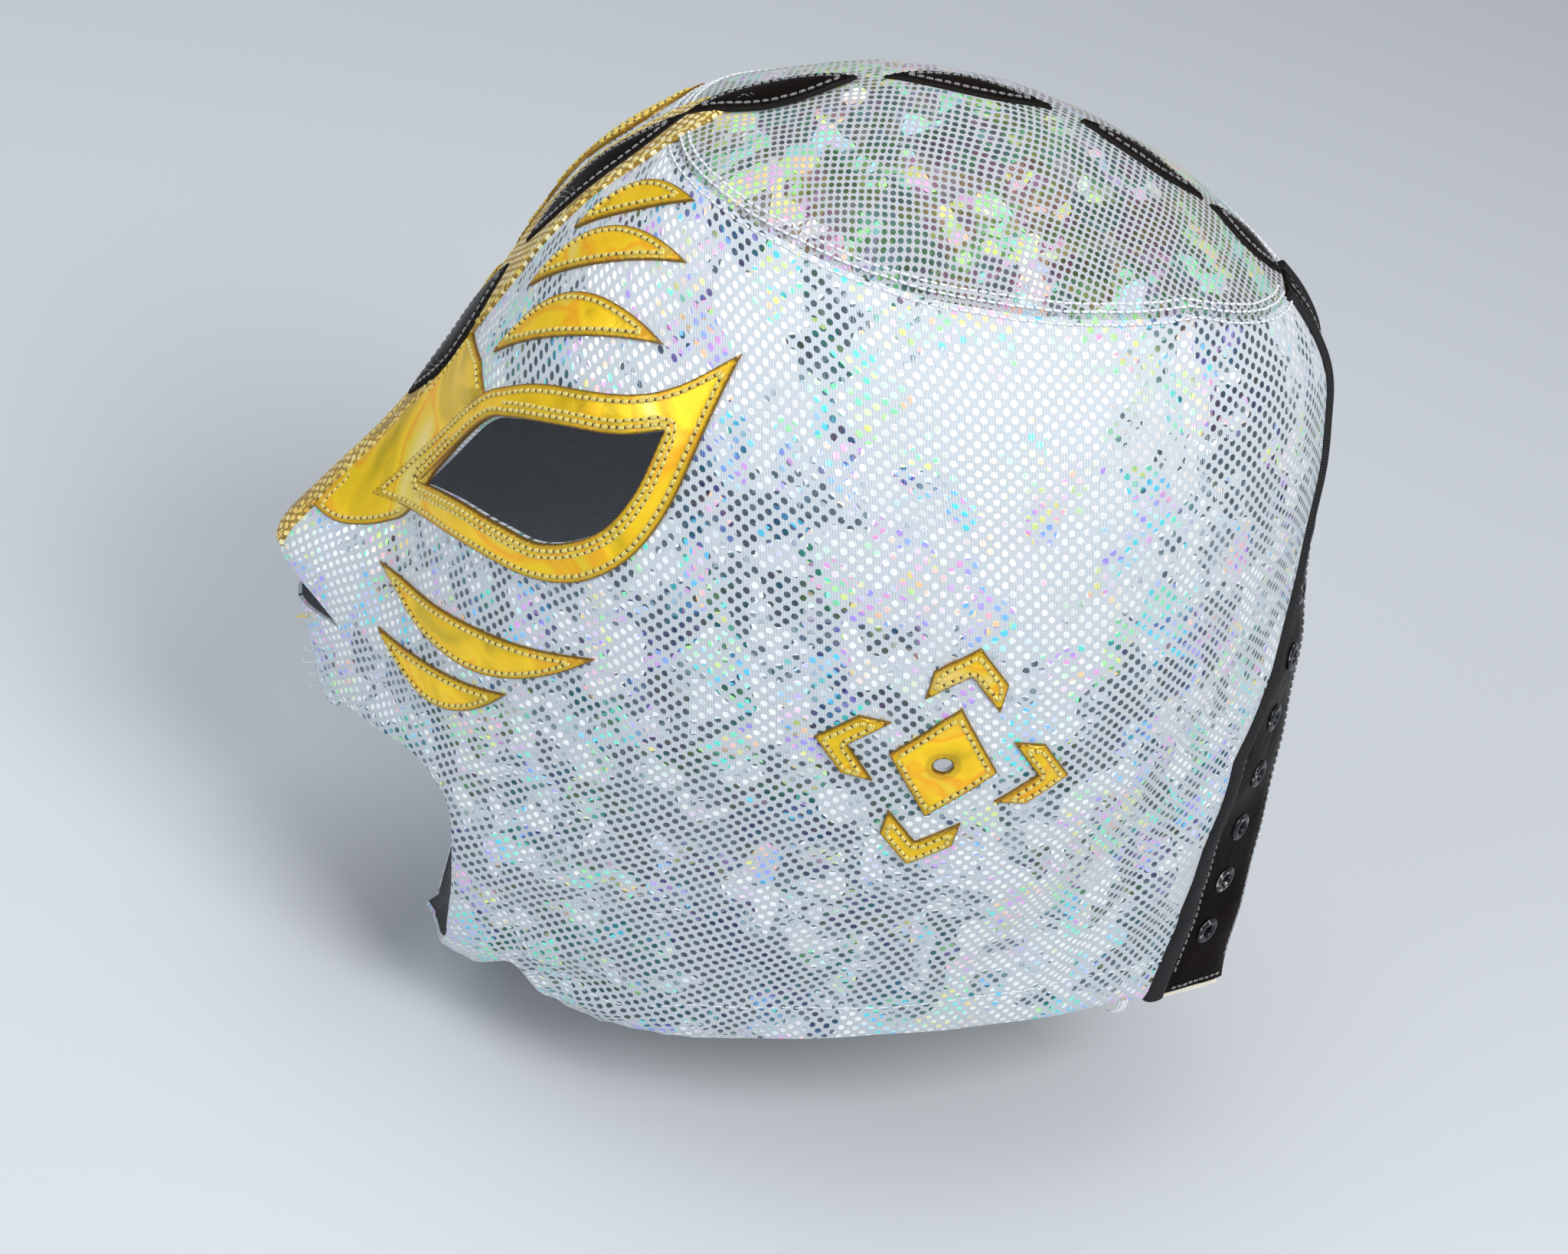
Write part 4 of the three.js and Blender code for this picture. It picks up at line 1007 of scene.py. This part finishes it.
SIDE_EDGE, SEAM, HEM_LINE, MOUTH_LINE = side_loop()
EYE_LOOP = smooth_loop(EYE_OPENING)
EYE_PLACES = project(resample(EYE_LOOP, 1.1), "eye")[:, :2]
EAR_RING = circle((EAR_CENTRE[0] + 2.7, EAR_CENTRE[1]), 1.8, 24)
EAR_PLACES = np.stack(side_place(EAR_RING[:, 0], EAR_RING[:, 1])[:2], -1)


def fold_slope(u, t):
    """How steeply the cloth falls, down the side, into its folds; the knit's painted light and shade follow it."""
    above = half_point(u, np.maximum(t - 0.06, 0))
    below = half_point(u, np.minimum(t + 0.06, LAST))
    fall = dents(below, FOLDS) + dents(below, CREASES) - dents(above, FOLDS) - dents(above, CREASES)
    return np.clip(fall / (np.linalg.norm(below - above, axis=-1) + 1e-6), -0.4, 0.4)


def seam_roll(distance):
    """The cloth rises beside a seam and turns down into it."""
    return 0.22 * np.exp(-(((distance - 2.4) / 1.3) ** 2)) - 0.6 * np.exp(-((distance / 0.9) ** 2))


def side_panels():
    flat, faces, _ = fill([SIDE_EDGE * FLAT, EYE_PLACES * FLAT, EAR_PLACES * FLAT], 3.0, (1.2,))
    u, t = (flat / FLAT).T
    places = np.stack([u, t, np.ones(len(u))], -1)
    to_hem = line_distance(places, HEM_LINE)
    to_mouth = line_distance(places, MOUTH_LINE)
    to_eye = line_distance(places, np.concatenate([EYE_PLACES, EYE_PLACES[:1]]))
    lift = 0.28 / (1 + np.exp((to_hem - 11.5) / 0.5)) + 0.2 / (1 + np.exp((to_mouth - 6.0) / 0.5))
    lift += seam_roll(line_distance(places, SEAM))
    for line in (to_hem, to_mouth, to_eye):
        lift -= 0.45 * (1 - np.clip(line / 0.9, 0, 1)) ** 2
    # the cloth bags a little between hem stitches
    y = half_point(u, t)[:, 1]
    gather = np.exp(-(((y + 40) / 22) ** 2)) * np.exp(-(to_hem / 9) ** 2)
    lift += 0.35 * gather * np.sin(y * 0.9)
    thick = 0.9 + 0.25 * (to_hem < 11)
    uv = np.stack([lookup(ROUND, u, t), lookup(DOWN, np.full(u.shape, 0.5), t)], -1)
    # painted light and shade: the foil's tone follows the slope of the folds, with a painted highlight along the rim
    # of the hem
    edge = fold_slope(u, t) + 0.45 * np.clip(4.2 - to_hem, 0, 1)
    for obj in lay("side_panel", places, lift, lift - thick, faces, KNIT, "knit", uv, turned=True, shift=900,
                   edge=edge, sharp=50, inner=len(faces)):
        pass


def crown():
    """The cap over the top: rings of cells from the middle of the crown to the seam."""
    cols = np.concatenate([np.linspace(0, 0.5, 41), np.linspace(0.5, 1, 41)[1:]])
    ends = seam_row(cols)
    f = np.concatenate([np.linspace(0, 0.9, 18) ** 0.85, [0.93, 0.95, 0.962, 0.972, 0.981, 0.988, 0.994, 1]])
    rows = len(f)
    u = np.broadcast_to(cols, (rows, len(cols)))
    t = f[:, None] * ends[None]
    lift = seam_roll(np.linalg.norm(half_point(u, t) - half_point(cols, ends)[None], axis=-1))

    def whole(half, flip):
        """Both halves of a grid, with its first row as one point."""
        grid = np.concatenate([half, half[:, -2:0:-1] * flip], 1)
        return np.concatenate([[grid[0, 0]], grid[1:].reshape(-1, grid.shape[2])])

    verts = np.concatenate([whole(cloth(u, t, h)[0], [-1, 1, 1]) for h in (lift, lift - 0.9)])
    arc = lookup(DOWN, u, t)
    around = half_point(cols, 3)
    turn = np.arctan2(around[:, 1] + 3, around[:, 0])
    uv = whole(np.stack([arc * np.cos(turn)[None], arc * np.sin(turn)[None]], -1), [-1, 1])
    n = 2 * len(cols) - 2
    size = len(uv)
    outer = []
    for i in range(n):
        j = (i + 1) % n
        outer.append((0, 1 + i, 1 + j))
        for a in range(1, size - n, n):
            outer.append((a + i, a + n + i, a + n + j, a + j))
    inner = [tuple(k + size for k in f[::-1]) for f in outer]
    rim = [(size - n + i, size - n + (i + 1) % n) for i in range(n)]
    walls = [(a, a + size, b + size, b) for a, b in rim]
    obj = make_mesh("crown_panel", verts, outer + inner + walls, CROWN_KNIT, "knit", uv, sharp=50, inner=len(outer))


def strip_half(t):
    """Half width of the ridge strip."""
    return table(RIDGE_STRIP, CROWN - section(t)[0] * HEIGHT)


def ridge_strip():
    tip = float(row_at_depth(CROWN + 131.5))
    end = float(bisect(lambda m: half_point(0.0, m)[..., 1] > RIDGE_STRIP_BACK, np.array(0.3), np.array(8.0)))
    ts = np.linspace(tip, end, 230)
    run = run_length(half_point(0.0, ts))
    to_end = run[-1] - run
    # the strip runs to a point at its back end
    half = np.minimum(strip_half(ts), 5.5 * np.clip(to_end / 8 + 0.02, 0, 1) + np.where(to_end > 8, 20, 0))
    share = np.array([0.22, 0.45, 0.62, 0.78, 0.9, 0.97, 1.0])
    x = half[:, None] * np.concatenate([-share[::-1], [0], share])[None]
    t = ts[:, None] + 0 * x
    edge = np.maximum(np.minimum(half[:, None] - np.abs(x), np.minimum(run, to_end)[:, None]), 0)
    at = np.stack([width_place(np.abs(x), t), t, np.where(x < 0, -1, 1)], -1).reshape(-1, 3)
    uv = np.stack([x, run[:, None] + 0 * x], -1).reshape(-1, 2)
    edge = edge.ravel()
    lay("ridge_strip", at, piece_lift(edge, 0, 0.75, 1.3), -0.2, grid_faces(*x.shape), GOLD_FOIL, "gold_foil", uv,
        turned=True, sides=(1,), edge=edge)
    for s in (-1.0, 1.0):
        u = width_place(np.maximum(half - 1.3, 0.3), ts)
        strip_thread.along(np.stack([u, ts, np.full(ts.shape, s)], -1)[:-6], 0.72, 2.1, 1.5, 0.26)


def gold_trim():
    surround = smooth_loop(EYE_SURROUND)
    applique("eye_surround", surround, "eye", holes=[EYE_LOOP], high=1.0)
    stitch_row(surround, "eye", 1.35, gold_thread, 1.0)
    for gap in (-1.35, -2.6):
        stitch_row(EYE_LOOP, "eye", gap, gold_thread, 1.02, keep=lambda run: loop_distance(run, [surround]) > 2.9)
    guard = smooth_loop(NOSE_GUARD)
    applique("nose_guard", guard, "eye", high=0.7,
             clamp=lambda u, t: np.maximum(u, width_place(strip_half(t) + 0.15, t)))
    stitch_row(guard, "eye", 1.35, gold_thread, 0.72,
               clamp=lambda u, t: np.maximum(u, width_place(strip_half(t) + 1.6, t)),
               keep=lambda run: ~inside(run, surround) & (loop_distance(run, [surround]) > 0.6))
    for name, view, *shape in CRESCENTS:
        applique(name, leaf(*shape), view)
        stitch_row(leaf(*shape), view, 1.3, gold_thread, 0.86)
    x, y = EAR_CENTRE
    w, h = EAR_LOZENGE
    lozenge = np.array([(x + w, y), (x, y + h), (x - w, y), (x, y - h)], float)
    applique("ear_lozenge", lozenge, "ear", holes=[circle(EAR_CENTRE, 1.9, 24)])
    stitch_row(lozenge, "ear", 1.3, gold_thread, 0.86)
    for name, turn, distance in CHEVRONS:
        c, s = math.cos(math.radians(turn)), math.sin(math.radians(turn))
        loop = np.array([(x + p * c - (q + distance) * s, y + p * s + (q + distance) * c) for p, q in CHEVRON])
        applique("ear_chevron_" + name, loop, "ear", groove=1.3)
        stitch_row(loop, "ear", 1.25, gold_thread, 0.86)


def black_leaves():
    for name, view, start, end, width, over in CREST:
        loop = leaf(0, start, 0, end, width, 0)
        low, high = (0.5, 1.45) if over else (-0.2, 0.85)
        applique(name, loop, view, BLACK, low=low, high=high, sides=(1,))
        stitch_row(loop, view, 1.6, dark_thread, high, radius=0.32, sides=(1,))


# Plackets
def strip_places(across, down, low_drop=0.0, inner=0.0):
    """Grid of places over the placket: across from the knit to the free edge, down from the seam to the hem."""
    c, r = np.meshgrid(across, down)
    u, t = np.full(c.shape, 0.95), np.full(c.shape, 10.0)
    for _ in range(8):
        top = seam_row(u, 0.12)
        foot = crossing(u, HEM[8:], 14.9, 6) + low_drop
        t = top + (foot - top) * r
        a = placket_edge(t, inner)
        u = a + (1 - a) * c
    return u, t


def strip_line(across, down, **more):
    return np.stack([a.ravel() for a in strip_places(across, down, **more)], -1)


def placket(eyelets):
    down = np.linspace(0, 1, 90)
    left, right = strip_line(0.0, down), strip_line(1.0, down)
    foot, top = strip_line(np.linspace(0, 1, 16), 1.0), strip_line(np.linspace(0, 1, 8), 0.0)
    scale = np.array([150.0, FLAT[1]])
    loops = [np.concatenate([left, foot[1:-1], right[::-1], top[::-1][1:-1]]) * scale]
    for u, t in eyelets:
        size = 1.9 / np.array([pace(u - 0.002, t, du=0.004), pace(u, t - 0.01, dt=0.02)])
        loops.append((np.array([u, t]) + circle((0, 0), 1, 20) * size) * scale)
    flat, faces, _ = fill(loops, 2.2, (0.8,))
    u, t = (flat / scale).T
    at = np.stack([u, t, np.ones(len(u))], -1)
    to_right = line_distance(at, right)
    to_free = np.minimum(to_right, line_distance(at, foot))
    lift = 0.1 - 0.5 * (1 - np.clip(to_free / 0.8, 0, 1)) ** 2
    lift += 0.25 * np.sin(np.clip(to_right / 9, 0, 1) * math.pi)
    lift -= 0.2 * np.exp(-(((to_free - 1.6) / 0.6) ** 2))
    uv = np.stack([to_right, lookup(DOWN, np.full(u.shape, 0.9), t)], -1)
    edge = np.minimum(to_free, line_distance(at, left))
    lay("placket", at, lift, lift - 1.1, faces, BLACK, "black_vinyl", uv, turned=True, edge=edge)
    # stitches down the free edge, beside the binding and along the foot
    w = np.linspace(0, 1, 260)
    free, bound = strip_line(1.0, w)[3:-8], strip_line(0.0, w, inner=-2.35)[3:-8]
    low = strip_line(np.linspace(0.22, 0.93, 60), 1.0)
    free[:, 0] -= 1.6 / pace(*free.T, du=-0.004)
    low[:, 1] -= 1.6 / pace(*low.T, dt=-0.05)
    for side in (1.0, -1.0):
        for row in (free, bound, low):
            dark_thread.along(np.column_stack([row, np.full(len(row), side)]), 0.12, 1.9, 1.35, 0.3)


def band(name, slot, material, u, t, low, high, rise=0.0):
    """A narrow strip over a grid of places, domed across by rise."""
    share = np.linspace(-1, 1, u.shape[1])
    lift = high + rise * np.sqrt(np.clip(1 - share**2, 0, 1))[None] + 0 * u
    run = run_length(half_point(u, t)[:, 0])
    uv = np.stack([share[None] * 1.5 + 0 * u, run[:, None] + 0 * u], -1).reshape(-1, 2)
    at = np.stack([u, t, np.ones(u.shape)], -1).reshape(-1, 3)
    lay(name, at, lift.ravel(), low, grid_faces(*u.shape), material, slot, uv, sharp=60)


def bands():
    across, down = np.meshgrid(np.linspace(1.6, -1.6, 9), strip_line(0.0, np.linspace(0, 1, 260))[:, 1])
    band("placket_binding", "black_binding", BINDING, placket_edge(down, across), down, -0.3, 0.25, 1.1)
    backing = strip_places(np.linspace(0.05, 1.0, 12), np.linspace(0, 1, 120), low_drop=0.12)
    band("placket_backing", "backing", BACKING, *backing, -2.5, -1.75)


EYELET_PROFILE = [(1.45, -1.2), (1.95, -1.2), (1.95, -0.1), (3.15, 0.0), (3.28, 0.12), (3.2, 0.3), (2.9, 0.5),
                  (2.45, 0.66), (2.0, 0.66), (1.65, 0.5), (1.45, 0.2)]


def eyelet(place, label, side):
    p, n = cloth(*place, 0.1)
    way = np.cross([0, 0, 1], n)
    way /= np.linalg.norm(way)
    up = np.cross(n, way)
    segs, m = 28, len(EYELET_PROFILE)
    turns = np.arange(segs) * 2 * math.pi / segs
    verts = [p + (way * math.cos(a) + up * math.sin(a)) * r + n * h for a in turns for r, h in EYELET_PROFILE]
    faces = []
    for i in range(segs):
        j = (i + 1) % segs
        faces += [(i * m + k, j * m + k, j * m + (k + 1) % m, i * m + (k + 1) % m) for k in range(m)]
    if side < 0:
        faces = mirror_faces(faces)
    make_mesh(label, np.array(verts) * [side, 1, 1], faces, STEEL, "eyelet_metal", sharp=60)


def eyelet_places():
    out = []
    for i in range(EYELETS):
        t = float(row_at_depth(EYELET_FIRST + i * EYELET_PITCH))
        share = EYELET_SHARE + EYELET_DRIFT * i / (EYELETS - 1)
        out.append((1 - share * (1 - float(placket_edge(t))), t))
    return out


# Seam and hem stitching, and loose threads
def seam_and_hem():
    for gap in (-3.0, -1.3, 1.4):
        for s in (1.0, -1.0):
            u = np.linspace(0, float(SEAM[-1, 0]) - 0.004, 400)
            t = seam_row(u)
            row = np.stack([u, t + gap / pace(u, t, dt=0.02), np.full(u.shape, s)], -1)
            pale_thread.along(row, 0.2, 1.9, 1.65, 0.31)
    for s in (1.0, -1.0):
        u, t = HEM_LINE[HEM_LINE[:, 0] > 0.16].T
        row = np.stack([u, t - 10.6 / pace(u, t, dt=-0.05), np.full(len(u), s)], -1)
        pale_thread.along(row, 0.22, 3.0, 2.1, 0.2)


def strand(place, way, length, curl, radius=0.14, to=strands):
    """A loose thread end, curling away from the cloth."""
    p, n = cloth(*place[:2], 0.3, place[2])
    way = np.asarray(way, float) / np.linalg.norm(way)
    f = np.linspace(0, 1, 15)[:, None]
    line = p + way * length * f + n * length * 0.25 * np.sin(f * math.pi) + np.cross(n, way) * curl * length * f**2
    to.add(line[:-1], line[1:] + (line[1:] - line[:-1]) * 0.15, np.repeat(n[None], 14, 0), radius)


def loose_threads():
    # hem tail
    for y, z, way, *shape in ((81, -176.6, (0, -0.6, -1), 5.2, 0.05, 0.42),
                              (80.3, -176.7, (0, -0.7, -1), 5.0, 0.12, 0.42),
                              (79.5, -176.8, (0, -0.8, -1), 4.2, 0.3, 0.2)):
        u, t, _ = side_place(np.array([y]), np.array([z]))
        strand((float(u[0]), float(t[0]), 1.0), way, *shape)
    # lip ends
    for k, length in enumerate((2.6, 3.4, 2.2)):
        strand((0.034 + 0.004 * k, 13.08, 1.0), (0.1, -1, 0.3 * k - 0.5), length, 0.5 - 0.4 * k, 0.16, gold_thread)
    for k, length in enumerate((2.4, 3.0, 2.0, 2.6)):
        strand((0.036, 13.7 + 0.16 * k, 1.0), (0.2, -1, 0.5 - 0.4 * k), length, 0.5 - 0.35 * k, 0.1)
    # frays of the black leaves
    for t, count in ((3.3, 4), (6.2, 5), (8.9, 4)):
        for k in range(count):
            strand((0.012, t + 0.05 * k, 1.0), (0.3 - 0.2 * k, -1, 0.8 - 0.5 * k), 2.4 + 0.5 * (k % 3), 0.4 - 0.25 * k,
                   0.09, dark_thread)


side_panels()
crown()
ridge_strip()
gold_trim()
black_leaves()
eyelets = eyelet_places()
placket(eyelets)
bands()
for k, place in enumerate(eyelets):
    eyelet(place, f"eyelet_{k + 1}_left", 1)
    eyelet(place, f"eyelet_{k + 1}_right", -1)
seam_and_hem()
loose_threads()
gold_thread.build("gold_stitches", GOLD_THREAD)
strip_thread.build("strip_stitches", GOLD_THREAD)
# painted shade at the needle holes
hole_shade_marks.build("painted_hole_shading", HOLE_SHADE)
strands.build("loose_threads", PALE_THREAD)
dark_thread.build("dark_stitches", DARK_THREAD)
pale_thread.build("pale_stitches", PALE_THREAD)

# Floor, lights and camera
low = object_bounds()[0].z - 0.0006
floor_mesh = bpy.data.meshes.new("floor")
floor_mesh.from_pydata([(-6, -6, low), (6, -6, low), (6, 6, low), (-6, 6, low)], [], [(0, 1, 2, 3)])
floor_mesh.materials.append(FLOOR)
floor = bpy.data.objects.new("floor", floor_mesh)
bpy.context.scene.collection.objects.link(floor)

world = bpy.data.worlds.new("studio")
bpy.context.scene.world = world
world.use_nodes = True
world.node_tree.nodes["Background"].inputs[0].default_value = (0.92, 0.95, 1.0, 1)
world.node_tree.nodes["Background"].inputs[1].default_value = 0.36


def area_light(name, place, size, power, color):
    data = bpy.data.lights.new(name, "AREA")
    data.shape = "RECTANGLE"
    data.size = data.size_y = size
    data.energy = power
    data.color = color
    obj = bpy.data.objects.new(name, data)
    bpy.context.scene.collection.objects.link(obj)
    obj.location = place
    obj.rotation_euler = (AIM - Vector(place)).to_track_quat("-Z", "Y").to_euler()


AIM = Vector((0, -0.010, -0.1346))
CAMERA_TURN, CAMERA_LIFT, CAMERA_ROLL, CAMERA_DISTANCE, CAMERA_LENS = 82, 34, 16, 0.620, 63.28
area_light("key", (0.85, 0.55, 0.95), 0.6, 15, (1.0, 0.99, 0.97))
area_light("fill", (0.8, -1.2, 0.5), 1.1, 8.5, (0.95, 0.97, 1.0))
area_light("top", (-0.1, -0.2, 1.3), 1.0, 6, (1.0, 1.0, 1.0))

turn, lift, roll = map(math.radians, (CAMERA_TURN, CAMERA_LIFT, CAMERA_ROLL))
back = Vector((math.sin(turn) * math.cos(lift), -math.cos(turn) * math.cos(lift), math.sin(lift)))
level = Vector((math.cos(turn), math.sin(turn), 0))
right = math.cos(roll) * level + math.sin(roll) * back.cross(level)
camera_data = bpy.data.cameras.new("camera")
camera_data.sensor_width = 36
camera_data.lens = CAMERA_LENS
camera = bpy.data.objects.new("camera", camera_data)
bpy.context.scene.collection.objects.link(camera)
columns = (right, back.cross(right), back, AIM + back * CAMERA_DISTANCE)
camera.matrix_world = Matrix([[c[k] for c in columns] for k in range(3)] + [(0, 0, 0, 1)])
bpy.context.scene.camera = camera
bpy.context.scene.view_settings.view_transform = "Standard"
